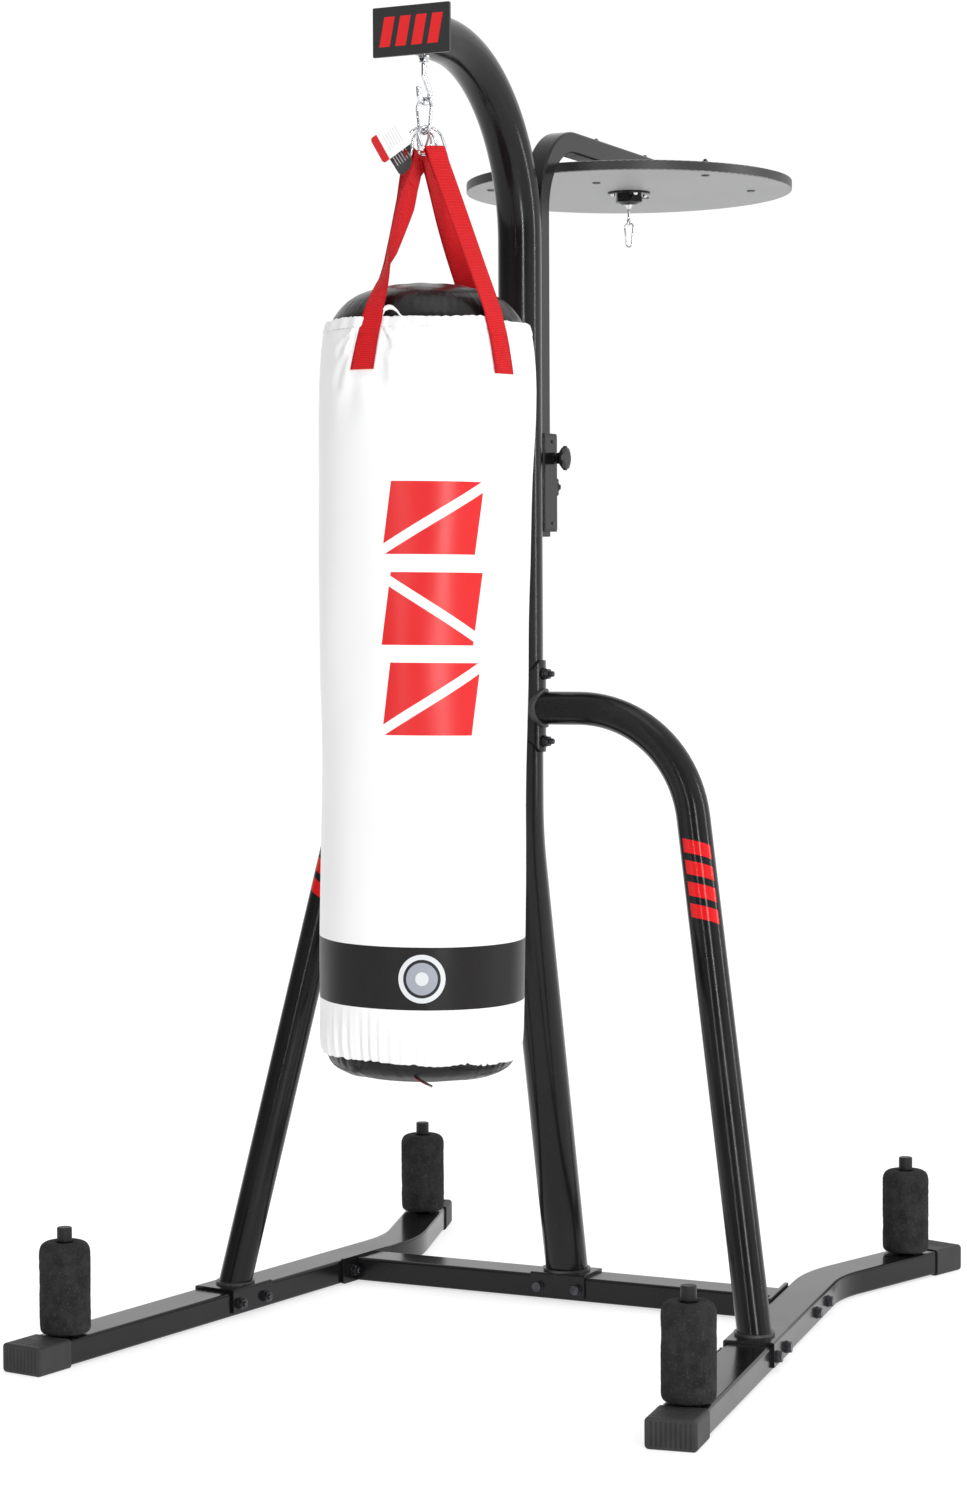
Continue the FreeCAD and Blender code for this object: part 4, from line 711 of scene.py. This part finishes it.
def strap_line(name):
    """Stations of the strap: (centre, across, outward), from the inner ply's end to the patch's foot."""
    out = towards(math.radians(STRAP_AZ[name][0]))
    across_end = out.cross(UP)
    bar, across, turned = ring_bar(name)
    if across.dot(across_end) < 0.0 and name != "front_left_strap":
        across = -across
    twist = math.atan2(across.cross(across_end).z, across.dot(across_end))
    hem_base = Vector(on_axis(math.radians(STRAP_AZ[name][0]), 0.1662, HEM_Z))
    hem = hem_base + out * (STRAP_T / 2.0 + 0.0022) + UP * 0.003
    run = (hem - bar).normalized()
    face = across.cross(run).normalized()
    if face.dot(out) < 0.0:
        face = -face
    clear = RING_BAR_R + STRAP_T / 2.0 + 0.0002
    free = (hem - bar).length
    stations = []
    for k in range(14):
        d = 0.058 - 0.058 * k / 14.0
        squeeze = clear if d < 0.010 else max(STRAP_T * 0.56, clear * (1.0 - (d - 0.010) / 0.020))
        stations.append((bar + run * d - face * squeeze, across, d / free))
    for k in range(9):
        a = math.pi * k / 8.0
        stations.append((bar - run * (clear * math.sin(a)) - face * (clear * math.cos(a)), across, 0.0))
    steps = int(free / 0.005)
    for k in range(1, steps):
        d = free * k / steps
        squeeze = clear if d < 0.010 else max(STRAP_T * 0.56, clear * (1.0 - (d - 0.010) / 0.020))
        ease = 1.0 if d < 0.10 else max(0.0, 1.0 - (d - 0.10) / 0.12)
        stations.append((bar + run * d + face * squeeze * ease, None, d / free))
    low = PATCH_LOW[name]
    rows = 22
    for k in range(rows + 1):
        z = HEM_Z - 0.002 + (low - HEM_Z + 0.002) * k / rows
        azimuth = float(strap_azimuth(name, z))
        r = float(shell_radius(np.array([z]))[0]) + 0.0012 + STRAP_T / 2.0
        turned_az = azimuth + math.radians(STRAP_TURN[name]) * k / rows
        stations.append((Vector(on_axis(azimuth, r, z)), towards(turned_az).cross(UP), 1.0 + k / rows))
    centres = [p for p, _, _ in stations]
    turns = []
    for centre, given, share in stations:
        turned = Matrix.Rotation(math.radians(float(np.interp(share, *TWISTS.get(name, LEVEL))))
                                 + twist * float(smooth_step(0.0, 1.0, share)), 3, "Z") @ across
        turns.append(given if share > 1.0 else (turned - run * turned.dot(run)).normalized())
    first_hem = 14 + 9 + steps - 1
    smoothed = list(centres)
    for _ in range(5):
        source = list(smoothed)
        for k in range(first_hem - 5, first_hem + 5):
            smoothed[k] = source[k - 1] * 0.25 + source[k] * 0.5 + source[k + 1] * 0.25
    result = []
    for k, centre in enumerate(smoothed):
        ahead = smoothed[min(k + 1, len(smoothed) - 1)] - smoothed[max(k - 1, 0)]
        outward = turns[k].cross(ahead.normalized()).normalized()
        result.append((centre, turns[k], outward))
    if result[-1][2].dot(out) < 0.0:
        result = [(c, a, -o) for c, a, o in result]
    return result


def strap_half(z):
    """Half the strap's width: a little more where it is sewn flat on the bag."""
    return STRAP_W / 2.0 + 0.0016 * float(1.0 - smooth_step(STRAP_LOW, HEM_Z + 0.02, z))


def strap_mesh(name, material):
    line = strap_line(name)
    thick = STRAP_T / 2.0
    side = np.linspace(-0.97, 0.97, 9)
    loop = [(x, thick) for x in side] + [(1.0, thick * 0.4), (1.0, -thick * 0.4)] \
        + [(x, -thick) for x in side[::-1]] + [(-1.0, -thick * 0.4), (-1.0, thick * 0.4)]
    rng = np.random.default_rng(len(name) * 7 + 3)
    phase = rng.uniform(0.0, 6.28)
    points, wrap = [], []
    walked = 0.0
    for k, (centre, across, outward) in enumerate(line):
        if k:
            walked += (centre - line[k - 1][0]).length
        sewn = centre.z < HEM_Z
        half = strap_half(centre.z)
        cup = 0.0 if sewn else 0.0007 * math.sin(walked * 31.0 + phase)
        if name in TWISTS and not sewn:
            cup += 0.0040 * float(smooth_step(0.075, 0.16, walked) * (1.0 - smooth_step(0.24, 0.32, walked)))
        for side_share, t in loop:
            x = side_share * half
            bow = -(x ** 2) / (2.0 * 0.175) if sewn else cup * (1.0 - side_share ** 2)
            points.append(centre + across * x + outward * (t + bow))
            wrap.append((x, walked))
    columns = len(loop)
    faces = grid_faces(len(line), columns, True)
    faces += [tuple(range(columns))[::-1], tuple((len(line) - 1) * columns + c for c in range(columns))]
    obj = place_mesh(name.replace("_strap", "_webbing"), points, faces, material, wrap)
    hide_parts(name)
    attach(obj, "heavy_bag")
    return obj, line


def patch_stitches(line, name):
    """Box and cross sewn through the patch."""
    low, high = PATCH_LOW[name] + 0.004, HEM_Z - 0.028
    half = STRAP_W / 2.0 - 0.0028

    def spot(x, z):
        ends = sorted(line, key=lambda station: abs(station[0].z - z))[:2]
        (c0, a0, o0), (c1, _, _) = ends
        t = 0.0 if abs(c1.z - c0.z) < 1e-9 else (z - c0.z) / (c1.z - c0.z)
        centre = c0.lerp(c1, t)
        return centre + a0 * x + o0 * (STRAP_T / 2.0 - x ** 2 / 0.35 + 0.0001), o0

    def leg(x0, z0, x1, z1):
        return [spot(x0 + (x1 - x0) * k / 8.0, z0 + (z1 - z0) * k / 8.0) for k in range(9)]

    box = [leg(-half, low, half, low), leg(half, low, half, high), leg(half, high, -half, high),
           leg(-half, high, -half, low)]
    cross = [leg(-half, low, half, high), leg(half, low, -half, high)]
    return box + cross


# ------------------------------------------------------------------ foam sleeves, cards, small trims
def foam_sleeve(node, material):
    low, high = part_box(node)
    centre = Vector(((low[0] + high[0]) / 2.0, (low[1] + high[1]) / 2.0, 0.0))
    radius = (high[0] - low[0]) / 2.0
    bore = 0.0127
    knots = [(bore, low[2] + 0.004), (bore + 0.003, low[2] + 0.0004), (radius - 0.010, low[2] + 0.0004),
             (radius - 0.0025, low[2] + 0.003), (radius - 0.0008, low[2] + 0.010),
             (radius - 0.0006, high[2] - 0.016), (radius - 0.0035, high[2] - 0.0065),
             (radius - 0.0115, high[2] - 0.0010), (bore + 0.010, high[2] - 0.0006),
             (bore + 0.002, high[2] - 0.0016), (bore, high[2] - 0.0060)]
    profile = smooth_profile(knots, 120)
    theta = np.linspace(0.0, 2.0 * math.pi, 120, endpoint=False)
    rng = np.random.default_rng(int(abs(centre.x) * 1000) + int(abs(centre.y) * 100))
    r = np.broadcast_to(profile[:, :1], (len(profile), len(theta))).copy()
    z = np.broadcast_to(profile[:, 1:], r.shape).copy()
    skin = smooth_step(radius * 0.6, radius * 0.95, r)
    broad = 0.0007 * waves(rng, theta, z, 8, (1, 7), 16.0)
    fine = 0.0004 * waves(rng, theta, z, 12, (9, 30), 60.0)
    r -= skin * np.abs(broad + fine)
    points = np.stack([centre.x + r * np.cos(theta), centre.y + r * np.sin(theta), z], axis=-1).reshape(-1, 3)
    rows, columns = len(profile), len(theta)
    faces = grid_faces(rows, columns, True)
    faces += [((rows - 1) * columns + c, (rows - 1) * columns + (c + 1) % columns, (c + 1) % columns, c)
              for c in range(columns)]
    obj = place_mesh(node.replace("_sleeve", ""), points, faces, material)
    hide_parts(node)
    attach(obj, node)
    return obj


def card(name, corner, along, down, width, height, bend, material):
    """A thin bent card hanging from one corner. `along` and `down` are its edges' directions."""
    along = Vector(along).normalized()
    down = Vector(down)
    down = (down - along * down.dot(along)).normalized()
    normal = along.cross(down)
    n, m, thick = 13, 15, 0.0006
    points, wrap = [], []
    for face in (1.0, -1.0):
        for j in range(m):
            for i in range(n):
                u, v = i / (n - 1.0), j / (m - 1.0)
                clip_u = min(u, 1.0 - u) * width
                round_off = max(0.0, 0.003 - clip_u) * (1.0 if v in (0.0, 1.0) else 0.0)
                curl = bend * (v ** 2 + 0.4 * u * v)
                p = Vector(corner) + along * (u * width) + down * (v * height - round_off * (1 if v else -1))
                points.append(p + normal * (curl + face * thick / 2.0))
                wrap.append(((u - 0.5) * width, (0.5 - v) * height))
    faces = grid_faces(m, n, False)
    back = [tuple(i + n * m for i in ring[::-1]) for ring in faces]
    rim = [j * n for j in range(m)][::-1] + list(range(1, n)) + [j * n + n - 1 for j in range(1, m)] \
        + [(m - 1) * n + i for i in range(n - 2, 0, -1)]
    sides = [(rim[k], rim[(k + 1) % len(rim)], rim[(k + 1) % len(rim)] + n * m, rim[k] + n * m)
             for k in range(len(rim))]
    closed = faces + back + [ring[::-1] for ring in sides]
    return place_mesh(name, points, closed, material, wrap, smooth=False)


def ribbon(name, path, width, across, thick, material):
    """A narrow band of cloth along a path, `across` giving its width's direction."""
    points = []
    across = Vector(across).normalized()
    path = [Vector(p) for p in path]
    for k, p in enumerate(path):
        ahead = (path[min(k + 1, len(path) - 1)] - path[max(k - 1, 0)]).normalized()
        up = across.cross(ahead).normalized()
        taper = 0.55 + 0.45 * math.sin(math.pi * min(1.0, 0.25 + k / (len(path) - 1.0)))
        for x, t in ((-1, 1), (0, 1.5), (1, 1), (1, -1), (0, -0.5), (-1, -1)):
            points.append(p + across * (x * width / 2.0 * taper) + up * (t * thick / 2.0))
    faces = grid_faces(len(path), 6, True)
    faces += [tuple(range(6))[::-1], tuple((len(path) - 1) * 6 + c for c in range(6))]
    return place_mesh(name, points, faces, material)


def on_bag(obj, slot_name, *nodes):
    if nodes:
        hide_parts(*nodes)
    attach(obj, "heavy_bag")
    return obj


# ------------------------------------------------------------------ build
TUBE = painted("black_tube", BLACK_LOW, BLACK_HIGH, 0.14, 0.21)
STEEL = painted("steel_dark", (0.004, 0.004, 0.0045), (0.007, 0.007, 0.008), 0.16, 0.26)
CHROME = plated("chrome", (0.74, 0.75, 0.77), (0.58, 0.59, 0.62), 0.07, 0.18)
ZINC = plated("black_zinc", (0.085, 0.085, 0.092), (0.045, 0.045, 0.052), 0.30, 0.48, 0.0006)
PLASTIC = moulded("black_plastic", (0.007, 0.007, 0.008), (0.013, 0.013, 0.014), 0.46)
CAP_PLASTIC = moulded("grey_plastic", (0.021, 0.021, 0.022), (0.036, 0.036, 0.037), 0.55, 900.0)
KNOB = moulded("knob_plastic", (0.007, 0.007, 0.008), (0.012, 0.012, 0.013), 0.36, 1100.0, 0.0010)
VINYL_WHITE = white_vinyl()
VINYL_BLACK = black_vinyl()
WEBBING = webbing()
RED_THREAD = thread("red_thread", (0.42, 0.006, 0.010))
GREY_THREAD = thread("grey_thread", (0.50, 0.50, 0.52))

nodes = frame["nodes"]


def finish_node(material, *names):
    for name in names:
        obj = nodes[name]
        if not obj.material_slots:
            obj.data.materials.append(material)
        for held in obj.material_slots:
            held.material = material


finish_node(TUBE, "left_runner", "right_runner", "crossbar", "crossbar_end_plates", "lower_upright",
            "upper_upright", "leg_saddles", "left_foot_bracket", "right_foot_bracket",
            "upright_foot_bracket", "plate_pegs", "speed_mast", "mast_sleeve", "clamp_bosses",
            "platform_struts")
finish_node(STEEL, "upright_spigot", "swivel_flange", "swivel_housing")
finish_node(CHROME, "j_hook", "hook_nuts", "bag_clip", "bag_clip_gate", "d_rings",
            "swivel_screws", "swivel_spindle", "speed_clip", "speed_clip_gate")
finish_node(ZINC, "frame_bolts", "frame_nuts", "frame_washers", "bushing_screws", "platform_screws")
finish_node(PLASTIC, "peg_caps", "arch_end_plug", "mast_end_caps", "mast_bushings")
finish_node(CAP_PLASTIC, "front_end_caps", "rear_end_caps")
finish_node(KNOB, "side_knob", "rear_knob")
finish_node(welded(), "weld_beads")
finish_node(board(), "platform")
sign_low, sign_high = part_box("sign_plate")
finish_node(sign_material((sign_low[2] + sign_high[2]) / 2.0), "sign_plate")

for side_name, sign, mark_up, mark_az in (("right_leg", 1.0, 0.756, 22.0), ("left_leg", -1.0, 0.772, 6.0)):
    leg_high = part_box(side_name)[1]
    foot_point = Vector((sign * 0.4940, -0.1935, 0.0515))
    knee_point = Vector((sign * 0.2995, -0.0325, leg_high[2] - 0.029))
    finish_node(marked_leg(side_name + "_paint", foot_point, knee_point, mark_up, math.radians(mark_az)),
                side_name)

shell = on_bag(bag_shell(VINYL_WHITE), "white_vinyl", "bag_shell", "bag_filling")
crown = on_bag(bag_top(VINYL_BLACK), "black_vinyl", "bag_top")
sole = on_bag(bag_base(VINYL_BLACK), "black_vinyl", "bag_base")

HEM_STITCH_DROP, HEM_STITCH_STEPS = 0.0185, 400
hem_path = []
for k in range(HEM_STITCH_STEPS + 1):
    az = 2.0 * math.pi * k / HEM_STITCH_STEPS
    hem_path.append((cloth_point(az, HEM_Z - HEM_STITCH_DROP, 0.0003), towards(az)))
on_bag(stitching("hem_stitching", [hem_path], GREY_THREAD), "white_vinyl")

for strap_name in STRAP_AZ:
    _, stations = strap_mesh(strap_name, WEBBING)
    sewn = stitching(strap_name.replace("_strap", "_stitching"), patch_stitches(stations, strap_name),
                     RED_THREAD)
    on_bag(sewn, "red_webbing")

curl_path = []
for az, rise in ((0.6, -0.004), (1.2, 0.004), (2.6, 0.0105), (5.0, 0.0125), (7.4, 0.0110), (9.6, 0.0060),
                 (11.6, -0.0015), (13.4, -0.0060)):
    curl_path.append(on_axis(math.radians(az), 0.1655, HEM_Z + rise))
curl_across = towards(math.radians(14.0)) * 0.35 + UP * 0.94
on_bag(ribbon("hem_curl", curl_path, 0.0085, curl_across, 0.0009, VINYL_WHITE), "white_vinyl")
tab_path = [on_axis(math.radians(az), r, z) for az, r, z in ((22.0, 0.146, 0.500), (26.0, 0.151, 0.4935),
                                                             (30.0, 0.155, 0.4885), (33.0, 0.158, 0.4850))]
on_bag(ribbon("zip_tab", tab_path, 0.0050, UP, 0.0010, VINYL_BLACK), "black_vinyl")
edge_path = [p + np.array([0.0, -0.0008, -0.0022]) for p in tab_path]
on_bag(ribbon("zip_tab_edge", edge_path, 0.0012, UP, 0.0008, RED_THREAD), "red_webbing")

FOAM = foam_material()
for corner_name in ("front_left", "front_right", "rear_left", "rear_right"):
    foam_sleeve(corner_name + "_foam_sleeve", FOAM)

WHITE_CARD = printed_card("white_card", (0.93, 0.93, 0.93), (0.60, 0.010, 0.014), (0.66, 0.66, 0.67))
DARK_CARD = printed_card("dark_card", (0.045, 0.045, 0.048), (0.30, 0.30, 0.31), (0.50, 0.50, 0.51))
card_y = HOOK.y - 0.018
card_a = card("white_tag", (-0.035, card_y, 2.053), (0.023, 0.0, -0.039), (-0.056, -0.003, -0.022),
              0.048, 0.064, 0.002, WHITE_CARD)
card_b = card("dark_tag", (-0.0718, card_y + 0.010, 2.0054), (0.0323, 0.0, -0.0482), (0.0264, 0.004, 0.0367),
              0.056, 0.044, -0.003, DARK_CARD)
on_bag(card_a, "card", "hang_tags")
on_bag(card_b, "card")

# ------------------------------------------------------------------ stage, light, camera
floor_shader = Shader("studio_floor")
floor_tone = floor_shader.mix(floor_shader.noise(3.0), (0.44, 0.44, 0.44), (0.46, 0.46, 0.46))
floor_shader.shade(Base_Color=floor_tone, Roughness=0.75, Emission_Color=(1.0, 1.0, 1.0),
                   Emission_Strength=0.66)
FLOOR_HALF = 40.0
floor_corners = [(x * FLOOR_HALF, y * FLOOR_HALF, 0.0) for x, y in ((-1, -1), (1, -1), (1, 1), (-1, 1))]
floor = place_mesh("studio_floor", floor_corners, [(0, 1, 2, 3)], floor_shader.mat, smooth=False)

world = bpy.data.worlds.new("studio")
bpy.context.scene.world = world
world.use_nodes = True
sky = world.node_tree
sky_nodes = sky.nodes
background = next(n for n in sky_nodes if n.type == "BACKGROUND")
source = sky_nodes.new("ShaderNodeTexCoord")


def sky_ramp(direction, low, high, dark, bright):
    """Strength from `dark` to `bright` as the sky's direction turns towards the one given."""
    aim = sky_nodes.new("ShaderNodeVectorMath")
    aim.operation = "DOT_PRODUCT"
    aim.inputs[1].default_value = direction
    spread = sky_nodes.new("ShaderNodeMapRange")
    spread.interpolation_type = "SMOOTHSTEP"
    for socket, number in zip(spread.inputs[1:5], (low, high, dark, bright)):
        socket.default_value = number
    sky.links.new(source.outputs["Generated"], aim.inputs[0])
    sky.links.new(aim.outputs["Value"], spread.inputs[0])
    return spread.outputs[0]


join = sky_nodes.new("ShaderNodeMath")
join.operation = "MULTIPLY"
sky.links.new(sky_ramp((0.903, 0.430, 0.0), -1.0, -0.30, 0.22, 1.02), join.inputs[0])
sky.links.new(sky_ramp((0.431, -0.902, 0.0), 0.55, 0.95, 1.0, 0.20), join.inputs[1])
sky.links.new(join.outputs[0], background.inputs["Strength"])
background.inputs["Color"].default_value = (1.0, 1.0, 1.0, 1.0)


def softbox(name, place, target, width, height, power):
    light = bpy.data.lights.new(name, "AREA")
    light.shape = "RECTANGLE"
    light.size, light.size_y = width, height
    light.energy = power
    obj = bpy.data.objects.new(name, light)
    obj.location = place
    obj.rotation_euler = (Vector(target) - Vector(place)).to_track_quat("-Z", "Y").to_euler()
    bpy.context.scene.collection.objects.link(obj)
    return obj


# Name, place, point aimed at, width, height, watts.
for softbox_row in (("key", (3.85, -4.20, 1.9), (0.0, -0.3, 1.1), 0.22, 3.4, 104.0),
                    ("front_strip", (0.25, -6.0, 2.2), (0.0, 0.0, 1.1), 0.16, 3.0, 36.0),
                    ("right_strip", (4.4, 1.6, 2.2), (0.0, -0.1, 1.2), 0.20, 3.0, 46.0),
                    ("top", (0.6, -0.9, 4.4), (0.0, -0.2, 1.0), 1.2, 1.6, 7.0)):
    softbox(*softbox_row)

CAMERA_PLACE = (2.32352, -5.05329, 1.23294)
LENS_MM, SENSOR_MM = 75.83, 36.0

YAW, PITCH, ROLL = math.radians(25.529), math.radians(2.371), math.radians(-0.2614)
right = Vector((math.cos(YAW), math.sin(YAW), 0.0))
forward = Vector((-math.sin(YAW) * math.cos(PITCH), math.cos(YAW) * math.cos(PITCH), -math.sin(PITCH)))
lifted = right.cross(forward)
side_axis = right * math.cos(ROLL) + lifted * math.sin(ROLL)
up_axis = lifted * math.cos(ROLL) - right * math.sin(ROLL)
turn = Matrix((side_axis, up_axis, -forward)).transposed().to_4x4()
camera_data = bpy.data.cameras.new("camera")
camera_data.sensor_width = SENSOR_MM
camera_data.lens = LENS_MM
camera_data.clip_end = 200.0
camera = bpy.data.objects.new("camera", camera_data)
camera.matrix_world = Matrix.Translation(CAMERA_PLACE) @ turn
bpy.context.scene.collection.objects.link(camera)
bpy.context.scene.camera = camera
bpy.context.scene.view_settings.view_transform = "Standard"
